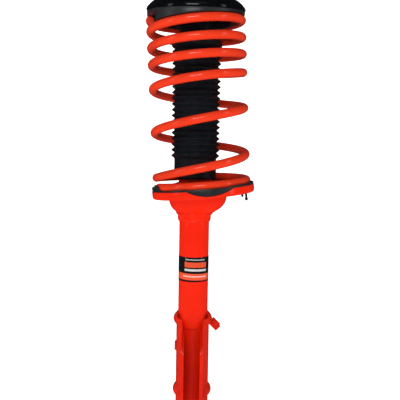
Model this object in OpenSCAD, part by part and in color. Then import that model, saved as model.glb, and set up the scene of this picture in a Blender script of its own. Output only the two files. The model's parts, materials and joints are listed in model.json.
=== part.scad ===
// Suspension strut with its coil spring, upper mount and knuckle bracket.
// The origin is the centre of the face that seats against the strut tower, +Z is up
// and the damper axis is the Z axis. The knuckle ears point along -Y.

/* [Overall] */
// Height from the tower seating face down to the foot of the damper tube
strut_length = 720; // [700:1:760]
// Length of the damper tube
tube_length = 437; // [420:1:450]

/* [Damper tube] */
// Outer diameter of the damper tube
tube_d = 51; // [50:0.5:54]
// Wall of the damper tube
tube_wall = 2.5; // [2:0.1:3]
// Height of the sticker round the tube
label_h = 42; // [20:1:60]
// Where the sticker's middle sits, as a share of the way from the bracket up to the seat's collar
label_at = 0.493; // [0.3:0.001:0.7]
// Angle that the sticker covers
label_arc = 210; // [120:5:300]

/* [Rod and valves] */
// Diameter of the piston rod
rod_d = 20; // [18:0.5:22]
// Diameter of the rod's threaded top end
rod_thread_d = 14; // [12:1:16]
// Diameter of the rod's lower end, which carries the piston
rod_tail_d = 12; // [10:0.5:14]
// Inner diameter of the pressure tube
bore_d = 33; // [32:0.5:35]
// Wall of the pressure tube
bore_wall = 1.5; // [1.2:0.1:2]
// Thickness of the piston
piston_h = 20; // [14:1:24]
// Radial running clearance of the rod and of the piston band
running_gap = 0.04; // [0.02:0.01:0.08]

/* [Coil spring] */
// Wire diameter of the spring
wire_d = 14; // [12:0.5:14.5]
// Mean diameter of the coils
coil_d = 152; // [148:1:156]
// Number of turns from end to end
turns = 6.96; // [6.9:0.01:7.1]
// Rise per turn of the dead coil on the lower seat
seat_pitch = 15.8; // [15:0.1:17]
// Rise per turn of the close upper coils
close_pitch = 27.3; // [25:0.1:29]
// Rise per turn of the last coil end under the upper seat
tail_pitch = 6.9; // [4:0.1:10]
// Lean of the spring's axis from the damper axis, in degrees
spring_lean = 2.94; // [2:0.02:3.2]

/* [Lower spring seat] */
// How far the lower seat's rim stands outside the spring
rim_gap = 3.7; // [3:0.1:6]
// How far the lower seat sits below the top of the damper tube
seat_drop = 88.8; // [85:0.2:93]
// Thickness of the lower seat's sheet
pan_wall = 3; // [2.5:0.1:3.2]
// Height of the rim from the underside of the seat
rim_h = 13.3; // [12:0.1:13.5]
// Tilt of the lower seat, right side up, in degrees
pan_tilt = 5.6; // [5:0.1:6]
// Sideways offset of the lower seat from the damper axis
pan_offset = 15; // [13:0.5:16]
// Radius of the dip in the front of the rim
dip_r = 77; // [70:1:95]
// Width of the band of rubber under the spring
pad_w = 20; // [16:1:24]

/* [Dust boot] */
// Outer diameter of the boot's ridges
ridge_d = 82.8; // [80:0.5:86]
// Outer diameter of the boot's valleys and its lower sleeve
valley_d = 71; // [68:0.5:73]
// Length of the boot's neck, down to its large top fold
neck_length = 77.85; // [76:0.05:80]
// Length of the plain sleeve that hangs over the damper tube
sleeve_length = 33.8; // [28:0.1:40]
// How far the boot reaches below the top of the damper tube
boot_overlap = 61; // [50:1:70]
// Number of ridges below the large top fold
ridges = 19; // [16:1:20]
// Thickness of the boot's rubber
boot_wall = 1.6; // [1.2:0.1:2]
// Outer diameter of the boot's neck
neck_d = 57.4; // [55:0.2:60]
// Diameter of the bump stop inside the boot
bump_d = 42; // [36:1:44]
// Length of the bump stop
bump_h = 75; // [50:1:76]

/* [Upper seat and bearing] */
// How far the upper seat's rim stands outside the middle of the spring wire
cap_over = 6; // [5:0.5:8]
// Thickness of the upper seat's sheet
cap_wall = 3; // [2.5:0.1:3.5]
// Lean of the upper seat's rim towards the front, in degrees
cap_lean = 6.5; // [5.5:0.1:7]
// Number of balls in the bearing
balls = 18; // [12:1:20]
// Diameter of the bearing balls
ball_d = 5; // [4.4:0.1:5.2]
// Diameter of the circle of ball centres
ball_circle_d = 62; // [60:0.5:64]

/* [Top mount] */
// Diameter of the mount plate
plate_d = 128; // [124:1:140]
// Thickness of the mount plate
plate_h = 4; // [3:0.5:5]
// Number of tower studs
studs = 3; // [3:1:4]
// Diameter of the tower studs
stud_d = 10; // [8:1:10]
// Diameter of the circle of stud centres
stud_circle_d = 104; // [100:1:106]
// Height of the studs above the seating face
stud_h = 24; // [18:1:30]

/* [Knuckle bracket] */
// Height of the bracket
bracket_h = 175; // [172:1:185]
// How far the bracket reaches below the foot of the tube
bracket_drop = 31; // [28:1:34]
// Thickness of one bracket sheet
sheet = 2.6; // [2.2:0.1:3]
// Gap between the ears, which takes the knuckle
knuckle_gap = 26.2; // [24:0.2:27]
// Distance from the damper axis to the front edge of the ears
ear_reach = 75; // [72:1:80]
// Distance from the damper axis to the knuckle bolts
bolt_reach = 52; // [50:1:54]
// Diameter of the knuckle bolt holes
bolt_hole_d = 14.4; // [12.4:0.1:16]
// Height of the lower bolt hole above the foot of the bracket
low_hole_h = 26; // [22:1:28]
// Distance between the two bolt holes
hole_spacing = 65; // [60:1:68]
// How far the beads at both ends of the bracket stand out
bead_out = 5.2; // [3:0.1:6]

/* [Hidden] */

$fn = 64;
big = 500;
// Gap between pieces that are pressed, screwed or welded together
fit_gap = 0.05;
// Gap between rubber or sheet and what it lies on
lay_gap = 0.15;
// Gap between the spring's wire and the rubber that it rests on
wire_gap = 0.9;

// Levels along the damper axis
foot_z = -strut_length;
tube_top = foot_z + tube_length;
tube_r = tube_d / 2;
tube_in = tube_r - tube_wall;
rod_r = rod_d / 2;
stud_grip_r = stud_d / 2 + 0.5;
bore_r = bore_d / 2;
bore_out = bore_r + bore_wall;

gland_h = 10;
gland_rim = 1.5;
seal_h = 6;
guide_h = 18;
spigot_h = 6;
seal_top = tube_top - gland_h - fit_gap;
guide_top = seal_top - seal_h - fit_gap;
guide_foot = guide_top - guide_h;
shoulder_z = guide_foot + spigot_h;

base_inset = 2;
base_h = 4;
base_top = foot_z + base_inset + base_h;
valve_flange_h = 8;
valve_flange_r = bore_out + 0.3 * (tube_in - bore_out);
valve_h = 15;
valve_top = base_top + fit_gap + valve_flange_h;

stop_gap = 0.4;
stop_h = 12;
ring_h = 4;
shim_h = 1.5;
tail_thread = 14;
stop_top = guide_foot - stop_gap;
ring_top = stop_top - stop_h - fit_gap;
shim_top = ring_top - ring_h - 6;
piston_top = shim_top - shim_h - fit_gap;
piston_foot = piston_top - piston_h;
low_shim_top = piston_foot - fit_gap;
nut_top = low_shim_top - shim_h - fit_gap;
rod_foot = nut_top - tail_thread;
tail_r = rod_tail_d / 2;

// Top mount
cup_r = 34;
cup_wall = 3;
cup_h = 26;
cup_hole_r = 22;
sleeve_r = 11;
sleeve_top = 0.5;
sleeve_foot = -cup_h - 1;
cup_disc_h = 3;
rod_step = sleeve_foot - fit_gap - cup_disc_h - fit_gap;
thread_r = rod_thread_d / 2;
rod_end = 24;
washer_h = 3.5;
washer_r = 26;
nut_h = 11;
nut_flat = 21;

// Bearing
ball_r = ball_d / 2;
ball_z = -cup_h - 7;
race_gap = 0.05;
race_half_w = 6.5;
race_face = 0.8;
race_h = 6.95;
upper_race_top = -cup_h - fit_gap;
lower_race_foot = ball_z - race_h;
race_r = ball_circle_d / 2;

// Upper spring seat
cap_top = lower_race_foot - fit_gap;
wire_r = wire_d / 2;
coil_r = coil_d / 2;
cap_r = coil_r + cap_over;
cap_rise = 25;
cap_rim_z = cap_top - cap_rise;
hub_r = 42;
cap_hole_r = 24;
hub_skirt = 16;
shoulder_r = coil_r - 10;
shoulder_rise = 16;
cap_lip = 2;

// Lower spring seat
pan_r = coil_r + wire_r + rim_gap;
pan_z = tube_top - seat_drop;
floor_z = pan_wall;
dip_x = 11;
dip_floor = floor_z + 0.3;
neck_h = 27;
neck_wall = 2;
// Rubber pegs through the floor: place in the seat, radius and length
peg_spots = [[pan_r - 20.5, 6, 2, 9.5], [pan_r - 14.7, -5, 2.4, 15]];
drain_angles = [100, 150, 210];
drain_r = 5;
drain_at = 0.55 * pan_r;

// Bowl under the lower seat
collar_h = 13;
collar_foot = pan_z - 43;
collar_out = tube_r + 2.8;

// Coil spring: it stands in its own leaning frame, at the level of the lower seat
spring_x = pan_offset - 2.67;
first_z = pan_wall + wire_r + 6.81;
under_cap = 9.35;
last_z = (cap_rim_z - pan_z) / cos(spring_lean) - under_cap - wire_r;
end_angle = -157;
last_angle = end_angle + 360 * turns;
wire_sides = 12;
rings_per_turn = 30;
// Where the pitch changes, in turns, and over how many turns
rise_at = 0.9;
rise_over = 0.15;
ease_at = 2.14;
ease_over = 1.9;
tail_at = 6.42;
tail_over = 0.1;

// Bracket
bracket_foot = foot_z - bracket_drop;
bracket_top = bracket_foot + bracket_h;
wrap_in = tube_r + lay_gap;
wrap_out = wrap_in + sheet;
inner_ear = knuckle_gap / 2;
stiff_out = inner_ear + sheet;
ear_in = stiff_out + lay_gap;
ear_out = ear_in + sheet;
// The flat ears start just inside the sheet that is wrapped round the tube
ear_root = sqrt(wrap_in * wrap_in - ear_in * ear_in) + 1;
stiff_root = sqrt(wrap_in * wrap_in - inner_ear * inner_ear) + 1;
// The stiffener's top and its web's foot
stiff_top = bracket_top - 12;
web_foot = foot_z - 4;
bead_r = 10;
bead_z = [bracket_top - bead_r, bracket_foot + 39];
low_hole_z = bracket_foot + low_hole_h;
high_hole_z = low_hole_z + hole_spacing;

function sum_smooth(x) = x <= 0 ? 0 : x < 1 ? x * x * x - x * x * x * x / 2 : x - 0.5;
function eased(u, at, over) = over * sum_smooth((u - at) / over);
open_turns = eased(turns, rise_at, rise_over);
close_turns = eased(turns, ease_at, ease_over);
tail_turns = eased(turns, tail_at, tail_over);
// The open coils take up the height that is left between the two seats
open_pitch = (last_z - first_z - seat_pitch * (turns - open_turns) - close_pitch * close_turns
    + (close_pitch - tail_pitch) * tail_turns) / (open_turns - close_turns);
// Height of the wire's centre after u turns, in the spring's own frame
function coil_height(u) = first_z + seat_pitch * u
    + (open_pitch - seat_pitch) * eased(u, rise_at, rise_over)
    - (open_pitch - close_pitch) * eased(u, ease_at, ease_over)
    - (close_pitch - tail_pitch) * eased(u, tail_at, tail_over);
function lean_y(p, a) = [p.x * cos(a) + p.z * sin(a), p.y, p.z * cos(a) - p.x * sin(a)];
// Point of the wire's centre line at angle t, in the part's frame
function coil_point(t) =
    [spring_x, 0, pan_z]
    + lean_y([coil_r * cos(t), coil_r * sin(t), coil_height((t - end_angle) / 360)], -spring_lean);

// A ring of equal outlines joined side by side. sections is a list of closed lists of points.
module loft(sections, closed) {
    n = len(sections);
    m = len(sections[0]);
    last = closed ? n : n - 1;
    sides = [for (i = [0 : last - 1], j = [0 : m - 1])
        [i * m + j, i * m + (j + 1) % m, ((i + 1) % n) * m + (j + 1) % m, ((i + 1) % n) * m + j]];
    caps = closed ? [] : [[for (j = [m - 1 : -1 : 0]) j], [for (j = [0 : m - 1]) (n - 1) * m + j]];
    polyhedron([for (s = sections) each s], concat(sides, caps), convexity = 8);
}

module ring(r_in, r_out, low, high) {
    translate([0, 0, low]) difference() {
        cylinder(r = r_out, h = high - low);
        translate([0, 0, -1]) cylinder(r = r_in, h = high - low + 2);
    }
}

module turned(outline) { rotate_extrude() polygon(outline); }

// ---- Top mount and what is fixed to it ----

module around(count, r, start = 90) {
    for (i = [0 : count - 1]) rotate([0, 0, start + 360 * i / count]) translate([r, 0, 0]) children();
}

module mount_plate() color("dimgray") difference() {
    ring(cup_r + fit_gap, plate_d / 2, -plate_h, 0);
    around(studs, stud_circle_d / 2) translate([0, 0, -plate_h - 1])
        cylinder(r = stud_grip_r + fit_gap, h = plate_h + 2);
}

// The rubber's cup, pressed and welded into the plate
module mount_cup() color("dimgray") {
    ring(cup_r - cup_wall, cup_r, -cup_h, 0);
    ring(cup_hole_r, cup_r, -cup_h, -cup_h + cup_wall);
}

// Each stud has a flat head and a wider knurled grip that fills the plate's hole
module tower_studs() color("silver") around(studs, stud_circle_d / 2) {
    translate([0, 0, -plate_h - 3 - fit_gap]) cylinder(d = stud_d * 1.6, h = 3);
    translate([0, 0, -plate_h - 3]) cylinder(r = stud_grip_r, h = plate_h + 3);
    translate([0, 0, -1]) cylinder(d = stud_d, h = stud_h + 1);
}

module mount_rubber() color("black")
    ring(sleeve_r + fit_gap, cup_r - cup_wall - fit_gap, -cup_h + cup_wall + fit_gap, -1);

module mount_sleeve() color("silver") ring(thread_r + fit_gap, sleeve_r, sleeve_foot, sleeve_top);

module rod_washer() color("silver")
    ring(thread_r + fit_gap, washer_r, sleeve_top + fit_gap, sleeve_top + washer_h);

module rod_nut() color("gainsboro") translate([0, 0, sleeve_top + washer_h + fit_gap]) difference() {
    cylinder(d = nut_flat / cos(30), h = nut_h, $fn = 6);
    translate([0, 0, -1]) cylinder(r = thread_r + fit_gap, h = nut_h + 2);
}

module race_groove() rotate_extrude() translate([race_r, ball_z]) circle(r = ball_r + race_gap);

module bearing_upper_race() color("silver") difference() {
    ring(race_r - race_half_w, race_r + race_half_w, ball_z + race_face, upper_race_top);
    race_groove();
}

module bump_stop_cup() color("dimgray")
    ring(thread_r + fit_gap, bump_d / 2 + 0.5, rod_step + fit_gap, sleeve_foot - fit_gap);

module bump_stop() color("khaki") translate([0, 0, rod_step]) mirror([0, 0, 1]) {
    bump_r = bump_d / 2;
    groove = 3;
    third = bump_h / 3;
    turned([
        [rod_r + 1, 0], [bump_r, 0], [bump_r, third - 6], [bump_r - groove, third],
        [bump_r - 1, third + 6], [bump_r - 1, 2 * third - 6], [bump_r - groove - 2, 2 * third],
        [bump_r - 3, 2 * third + 6], [bump_r - 6, bump_h], [rod_r + 1, bump_h]
    ]);
}

module piston_rod() color("gainsboro") {
    translate([0, 0, shim_top]) cylinder(r = rod_r, h = rod_step - shim_top);
    translate([0, 0, rod_step - 1]) cylinder(r = thread_r, h = rod_end - rod_step + 1);
    translate([0, 0, rod_foot]) cylinder(r = tail_r, h = shim_top - rod_foot + 1);
}

module rebound_stop() color("black") ring(rod_r + fit_gap, bore_r - 1.5, ring_top + fit_gap, stop_top);

module stop_ring() color("silver") ring(rod_r + fit_gap, bore_r - 2, ring_top - ring_h, ring_top);

module rebound_shims() color("silver")
    ring(tail_r + fit_gap, bore_r - 3.5, piston_top + fit_gap, shim_top - fit_gap);

module piston() color("gray") difference() {
    band = 1;
    turned([
        [tail_r + fit_gap, piston_foot], [bore_r - 0.4, piston_foot],
        [bore_r - 0.4, piston_foot + 4], [bore_r - 0.4 - band, piston_foot + 4],
        [bore_r - 0.4 - band, piston_top - 4], [bore_r - 0.4, piston_top - 4],
        [bore_r - 0.4, piston_top], [tail_r + fit_gap, piston_top]
    ]);
    around(6, (tail_r + bore_r) / 2 + 0.5, 0) translate([0, 0, piston_foot - 1])
        cylinder(r = 1.6, h = piston_h + 2, $fn = 24);
}

module piston_band() color("saddlebrown")
    ring(bore_r - 1.4 + fit_gap, bore_r - running_gap, piston_foot + 4 + fit_gap, piston_top - 4 - fit_gap);

module compression_shims() color("silver")
    ring(tail_r + fit_gap, bore_r - 3.5, nut_top + fit_gap, low_shim_top);

module piston_nut() color("gainsboro") translate([0, 0, nut_top - 9]) difference() {
    cylinder(d = 18 / cos(30), h = 9, $fn = 6);
    translate([0, 0, -1]) cylinder(r = tail_r + fit_gap, h = 11);
}

// ---- Bearing cage ----

module bearing_cage() color("ivory") difference() {
    ring(race_r - 4, race_r + 4, ball_z - 0.5, ball_z + 0.5);
    around(balls, race_r, 0) translate([0, 0, ball_z - 2]) cylinder(r = ball_r + fit_gap, h = 4);
}

module bearing_balls() color("silver") around(balls, race_r, 0) translate([0, 0, ball_z]) sphere(r = ball_r);

// ---- Upper seat, spring and boot ----

// The pan's frame: under the mount, leaning to the front and centred on the top coil
cap_x = coil_point(last_angle - 100).x - coil_r * cos(last_angle - 100);
module cap_frame() translate([cap_x, 0, cap_rim_z]) rotate([cap_lean, 0, 0]) children();

module upper_spring_seat() color("#101216") difference() {
    union() {
        cap_frame() turned([
            [cap_r - cap_wall, -cap_lip], [cap_r, -cap_lip], [cap_r, cap_lip],
            [shoulder_r, shoulder_rise], [hub_r - 3, cap_rise], [hub_r - 3, cap_rise - cap_wall],
            [shoulder_r - 1, shoulder_rise - cap_wall], [cap_r - cap_wall, cap_lip - cap_wall / 2]
        ]);
        ring(hub_r - cap_wall, hub_r, cap_top - hub_skirt, cap_top);
        ring(cap_hole_r, hub_r, cap_top - cap_wall, cap_top);
    }
    translate([-big / 2, -big / 2, cap_top]) cube(big);
}

module bearing_lower_race() color("silver") difference() {
    ring(race_r - race_half_w, race_r + race_half_w, lower_race_foot, ball_z - race_face);
    race_groove();
}

// The rubber's lower face follows the last turn of the spring round from its cut end
pad_in = coil_r - 18;
skirt_r = coil_r - wire_r - 1.2;
skirt_foot = cap_rim_z - 22;
function in_cap(p) = [cap_x + p.x, p.y * cos(cap_lean) - p.z * sin(cap_lean),
    cap_rim_z + p.y * sin(cap_lean) + p.z * cos(cap_lean)];
function cap_spot(r, a, z) = in_cap([r * cos(a), r * sin(a), z]);
function level_spot(r, a, z) = [cap_x + r * cos(a), r * sin(a), z];
function isolator_section(a, t) = let (under = coil_point(t).z + wire_r + lay_gap + 0.3) [
    level_spot(pad_in, a, skirt_foot),
    level_spot(skirt_r, a, skirt_foot),
    level_spot(skirt_r, a, under),
    level_spot(cap_r - 1, a, under),
    cap_spot(cap_r - 1, a, -cap_lip - lay_gap),
    cap_spot(cap_r - cap_wall - 0.8, a, -cap_lip - lay_gap),
    cap_spot(cap_r - cap_wall - 0.8, a, -0.4),
    cap_spot(shoulder_r - 2, a, shoulder_rise - cap_wall - 1.2),
    cap_spot(pad_in, a, shoulder_rise - cap_wall - 1.2)
];
module upper_isolator() color("#34373b") {
    cut = last_angle - 2160;
    step = 7.5;
    rise = 28;
    loft(concat(
        [for (a = [cut + rise + 1 : step : cut + 355]) isolator_section(a, 1800 + a)],
        [for (a = [0 : rise / 4 : rise]) isolator_section(cut + 360 + a, last_angle + a)]), true);
}

module coil_spring() color("#e33a16") {
    steps = ceil(turns * rings_per_turn);
    loft([for (i = [0 : steps])
        let (t = end_angle + (last_angle - end_angle) * i / steps)
        [for (k = [0 : wire_sides - 1])
            let (b = 360 * k / wire_sides, r = coil_r + wire_r * cos(b),
                z = coil_height((t - end_angle) / 360) + wire_r * sin(b))
            [spring_x, 0, pan_z] + lean_y([r * cos(t), r * sin(t), z], -spring_lean)]], false);
}

// Boot levels, from the neck under the upper seat down to the sleeve over the tube
ridge_r = ridge_d / 2;
valley_r = valley_d / 2;
neck_r = neck_d / 2;
boot_top = cap_top - cap_wall - lay_gap;
fold_z = boot_top - neck_length;
first_ridge = fold_z - 12.5;
boot_foot = tube_top - boot_overlap;
ridge_pitch = (first_ridge - boot_foot - sleeve_length) / (ridges - 0.5);
function boot_outline(inset) = concat(
    [[neck_r - inset, boot_top], [neck_r - inset, fold_z + 12], [valley_r - 2 - inset, fold_z + 9],
        [ridge_r + 1 - inset, fold_z + 4], [ridge_r + 1 - inset, fold_z - 4],
        [valley_r - inset, fold_z - 7.5]],
    [for (i = [0 : ridges - 1], k = [0 : 1])
        k == 0 ? [ridge_r - inset, first_ridge - i * ridge_pitch]
            : [valley_r - inset, first_ridge - (i + 0.5) * ridge_pitch]],
    [[valley_r - inset, boot_foot]]);
function reversed(list) = [for (i = [len(list) - 1 : -1 : 0]) list[i]];

module dust_boot() color("#17191d") {
    turned(concat(boot_outline(0), reversed(boot_outline(boot_wall))));
    ring(cap_hole_r + 1, neck_r + 5, boot_top - 3, boot_top);
}

// ---- Damper body ----

module damper_tube() color("#f4260a") ring(tube_in, tube_r, foot_z, tube_top);

module base_cap() color("#c22008") translate([0, 0, foot_z + base_inset])
    cylinder(r = tube_in - fit_gap, h = base_h);

module pressure_tube() color("silver")
    ring(bore_r, bore_out, valve_top + fit_gap, shoulder_z - fit_gap);

module base_valve() color("gray") difference() {
    union() {
        translate([0, 0, base_top + fit_gap]) cylinder(r = valve_flange_r, h = valve_flange_h);
        translate([0, 0, base_top + fit_gap]) cylinder(r = bore_r - fit_gap, h = valve_h);
    }
    around(6, bore_r * 0.6, 0) translate([0, 0, base_top + 3]) cylinder(r = 1.8, h = valve_h, $fn = 24);
    for (a = [0, 90]) rotate([0, 0, a]) translate([-big / 2, -3, base_top - 1]) cube([big, 6, 4]);
}

module rod_guide() color("gray") difference() {
    union() {
        translate([0, 0, shoulder_z]) cylinder(r = tube_in - fit_gap, h = guide_top - shoulder_z);
        translate([0, 0, guide_foot]) cylinder(r = bore_r - fit_gap, h = spigot_h + 1);
    }
    translate([0, 0, guide_foot - 1]) cylinder(r = rod_r + 2, h = guide_h + 2);
}

module guide_bush() color("peru")
    ring(rod_r + running_gap, rod_r + 2 - fit_gap, guide_foot, guide_top - 1);

module rod_seal() color("black") ring(rod_r + running_gap, tube_in - fit_gap, guide_top + fit_gap, seal_top);

module gland_nut() color("silver") {
    ring(rod_r + 3, tube_in - fit_gap, seal_top + fit_gap, tube_top + gland_rim);
    ring(rod_r + 3, tube_r - 0.5, tube_top + fit_gap, tube_top + gland_rim);
}

// The seat's frame: level with its underside, tilted right side up
module pan_frame() translate([pan_offset, 0, pan_z]) rotate([0, -pan_tilt, 0]) children();

module bowl_layer(x, z, r) translate([x, 0, z]) cylinder(r = r, h = 0.5, $fn = 48);

module bowl(inset) hull() {
    bowl_layer(6, pan_z + 8, 50 - inset);
    bowl_layer(4.5, pan_z - 13, 47.5 - inset);
    bowl_layer(2.5, pan_z - 22, 41.5 - inset);
    bowl_layer(1, pan_z - 28, 33.5 - inset);
    bowl_layer(0, pan_z - 32, tube_r + 3 - inset / 3);
}

module seat_support() color("#f4260a") difference() {
    union() {
        difference() {
            bowl(0);
            translate([0, 0, 0.01]) bowl(pan_wall);
        }
        ring(tube_r + lay_gap, collar_out, collar_foot, collar_foot + collar_h);
    }
    pan_frame() translate([-big / 2, -big / 2, -lay_gap]) cube(big);
    translate([0, 0, pan_z - big / 2]) cylinder(r = tube_r + lay_gap, h = big);
}

module lower_spring_seat() color("#f4260a") difference() {
    union() {
        pan_frame() turned([
            [0, 0], [pan_r - 3.5, 0], [pan_r - 1, 1], [pan_r, 3.5], [pan_r, rim_h],
            [pan_r - pan_wall, rim_h], [pan_r - pan_wall, floor_z], [0, floor_z]
        ]);
        translate([0, 0, pan_z]) cylinder(r = tube_r + lay_gap + neck_wall, h = neck_h);
    }
    translate([0, 0, pan_z - big / 2]) cylinder(r = tube_r + lay_gap, h = big);
    pan_frame() {
        translate([dip_x, 0, dip_floor + dip_r]) rotate([90, 0, 0]) cylinder(r = dip_r, h = big, $fn = 128);
        for (p = peg_spots) translate([p.x, p.y, -1]) cylinder(r = p.z + 0.3, h = pan_wall + 2);
        // Drain holes
        for (a = drain_angles) rotate([0, 0, a]) translate([drain_at, 0, -1])
            cylinder(r = drain_r, h = pan_wall + 2);
    }
    translate([0, 0, pan_z - 40]) cylinder(r = tube_r + lay_gap + neck_wall, h = 38);
}

// Height of the wire's underside over the seat's floor plane, in the seat's frame
function on_pan(p) = (p.z - pan_z) * cos(pan_tilt) - (p.x - pan_offset) * sin(pan_tilt);
function under_wire(t) = on_pan(coil_point(t)) - wire_r - wire_gap;
function pan_spot(p) = [pan_offset + p.x * cos(pan_tilt) - p.z * sin(pan_tilt), p.y,
    pan_z + p.x * sin(pan_tilt) + p.z * cos(pan_tilt)];
// The rubber stop behind the wire's cut end
end_room = 2;
stop_from = end_angle - 2 * end_room;
stop_to = end_angle - 38;
pad_low = floor_z + 9;
pad_end = 100;
function pad_top(a) = a > end_angle ? (a < pad_end ? under_wire(a)
        : max(pad_low, under_wire(pad_end) - (a - pad_end) * 0.2))
    : a > stop_from ? under_wire(end_angle) : pad_low;
function rim_edge(x) = abs(x - dip_x) >= dip_r ? rim_h
    : min(rim_h, dip_floor + dip_r - sqrt(dip_r * dip_r - (x - dip_x) * (x - dip_x)));
// The wire's outer side as seen from the seat's centre
function wire_side(a) = let (p = coil_point(a))
    norm([(p.x - pan_offset) * cos(pan_tilt) + (p.z - pan_z) * sin(pan_tilt), p.y])
    + wire_r + wire_gap + 0.3;
function lip_h(a) = abs(a + 30) < 75 ? 3.4 : max(0, 3.4 - (abs(a + 30) - 75) * 0.25);
function pad_section(a, raise) = let (
        r_in = pan_r - pan_wall - pad_w,
        r_wall = pan_r - pan_wall - lay_gap,
        r_out = pan_r - 0.6,
        r_lip = min(wire_side(a), r_out - 0.8),
        top = max(pad_top(a), raise),
        edge = (a > -180 && a < 0 ? rim_edge(pan_r * cos(a)) : rim_h) + lay_gap,
        high = max(top, edge + 0.3) + (raise > 0 ? 0 : lip_h(a)),
        spots = [[r_in, floor_z + lay_gap], [r_wall, floor_z + lay_gap], [r_wall, edge],
            [r_out, edge], [r_out, high], [r_lip, high], [r_lip, top], [r_in, top]])
    [for (s = spots) pan_spot([s.x * cos(a), s.x * sin(a), s.y])];

module lower_isolator() color("#2a2d31") {
    step = 5;
    stop_z = 20;
    loft(concat(
        [pad_section(end_angle - end_room, 0)],
        [for (a = [end_angle : step : 360 + stop_to]) pad_section(a, 0)],
        [for (a = [360 + stop_to + 0.5, 360 + stop_from]) pad_section(a, stop_z)]), true);
    pan_frame() for (p = peg_spots) translate([p.x, p.y, -p[3]]) cylinder(r = p.z, h = p[3] + floor_z + 1);
}

// ---- Knuckle bracket ----

module wrap_plan(front) difference() {
    circle(r = wrap_out);
    circle(r = wrap_in);
    if (front) {
        for (s = [-1, 1]) translate([s * (stiff_out + big / 2), 0]) square(big, center = true);
        translate([-big / 2, 0]) square(big);
    } else translate([-ear_in, -big]) square([2 * ear_in, big]);
}

module ear_plan(inside, root) for (s = [-1, 1])
    translate([s * (inside + sheet / 2) - sheet / 2, -ear_reach]) square([sheet, ear_reach - root]);

// Side view of the bracket: y runs to the right and z up
module side_view(top, shoulder) polygon([
    [big, top], [-8, top], [-24, top - 11], [-34, top - 14], [-ear_reach + 8, shoulder + 6],
    [-ear_reach + 2, shoulder], [-ear_reach, shoulder - 8], [-ear_reach, bracket_foot + 14],
    [-ear_reach + 4, bracket_foot + 4], [-ear_reach + 14, bracket_foot], [big, bracket_foot]
]);

module side_block(top, shoulder) rotate([90, 0, 90]) translate([0, 0, -big / 2])
    linear_extrude(big) side_view(top, shoulder);

module knuckle_holes() for (z = [low_hole_z, high_hole_z]) translate([-big / 2, -bolt_reach, z])
    rotate([0, 90, 0]) cylinder(d = bolt_hole_d, h = big);

module bead(z) translate([0, 0, z]) rotate_extrude(angle = 250, start = -35) difference() {
    translate([wrap_out + bead_out - bead_r, 0]) circle(r = bead_r);
    translate([wrap_out + bead_out - bead_r, 0]) circle(r = bead_r - sheet);
    translate([-big + wrap_out - 0.6, -big / 2]) square(big);
}

module knuckle_bracket() color("#f4260a") difference() {
    union() {
        intersection() {
            translate([0, 0, bracket_foot]) linear_extrude(bracket_h) {
                wrap_plan(false);
                ear_plan(ear_in, ear_root);
            }
            side_block(bracket_top, bracket_top - 44);
        }
        for (z = bead_z) bead(z);
    }
    knuckle_holes();
}

module bracket_stiffener() color("#e02408") difference() {
    intersection() {
        union() {
            translate([0, 0, web_foot]) linear_extrude(stiff_top - web_foot) wrap_plan(true);
            translate([0, 0, bracket_foot]) linear_extrude(bracket_h) ear_plan(inner_ear, stiff_root);
        }
        side_block(stiff_top, bracket_top - 47);
    }
    knuckle_holes();
}

module hose_bracket() color("#e02408") translate([wrap_out + bead_out + 4, 6, bracket_top - 24])
    rotate([0, 45, 0]) difference() {
        union() {
            translate([-8, -3, -5]) cube([17, 2.5, 12]);
            translate([-8, -3, -5]) cube([17, 16, 2.5]);
            translate([-8, 10.5, -5]) cube([17, 2.5, 12]);
        }
        translate([1, 5, -6]) cylinder(d = 8.4, h = 5);
    }

module wire_tab() color("#e02408") translate([-wrap_out - 3, 4, bracket_top - 70]) difference() {
    cube([3 - lay_gap, 18, 13]);
    translate([-1, 11, 6.5]) rotate([0, 90, 0]) cylinder(d = 6.5, h = 6);
}

label_z = bracket_top + label_at * (collar_foot - bracket_top);
module tube_label() color("#e9431c") translate([0, 0, label_z - label_h / 2])
    rotate_extrude(angle = label_arc, start = -90 - label_arc / 2)
        translate([tube_r + fit_gap, 0]) square([0.25, label_h]);

mount_plate();
mount_cup();
tower_studs();
mount_rubber();
mount_sleeve();
rod_washer();
rod_nut();
bearing_upper_race();
bump_stop_cup();
bump_stop();
piston_rod();
rebound_stop();
stop_ring();
rebound_shims();
piston();
piston_band();
compression_shims();
piston_nut();
bearing_cage();
bearing_balls();
upper_spring_seat();
bearing_lower_race();
upper_isolator();
coil_spring();
dust_boot();
damper_tube();
base_cap();
pressure_tube();
base_valve();
rod_guide();
guide_bush();
rod_seal();
gland_nut();
seat_support();
lower_spring_seat();
lower_isolator();
knuckle_bracket();
bracket_stiffener();
hose_bracket();
wire_tab();
tube_label();
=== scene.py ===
import contextlib
import json
import math

import bmesh
import bpy
import numpy as np
from mathutils import Euler, Matrix, Vector


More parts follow.
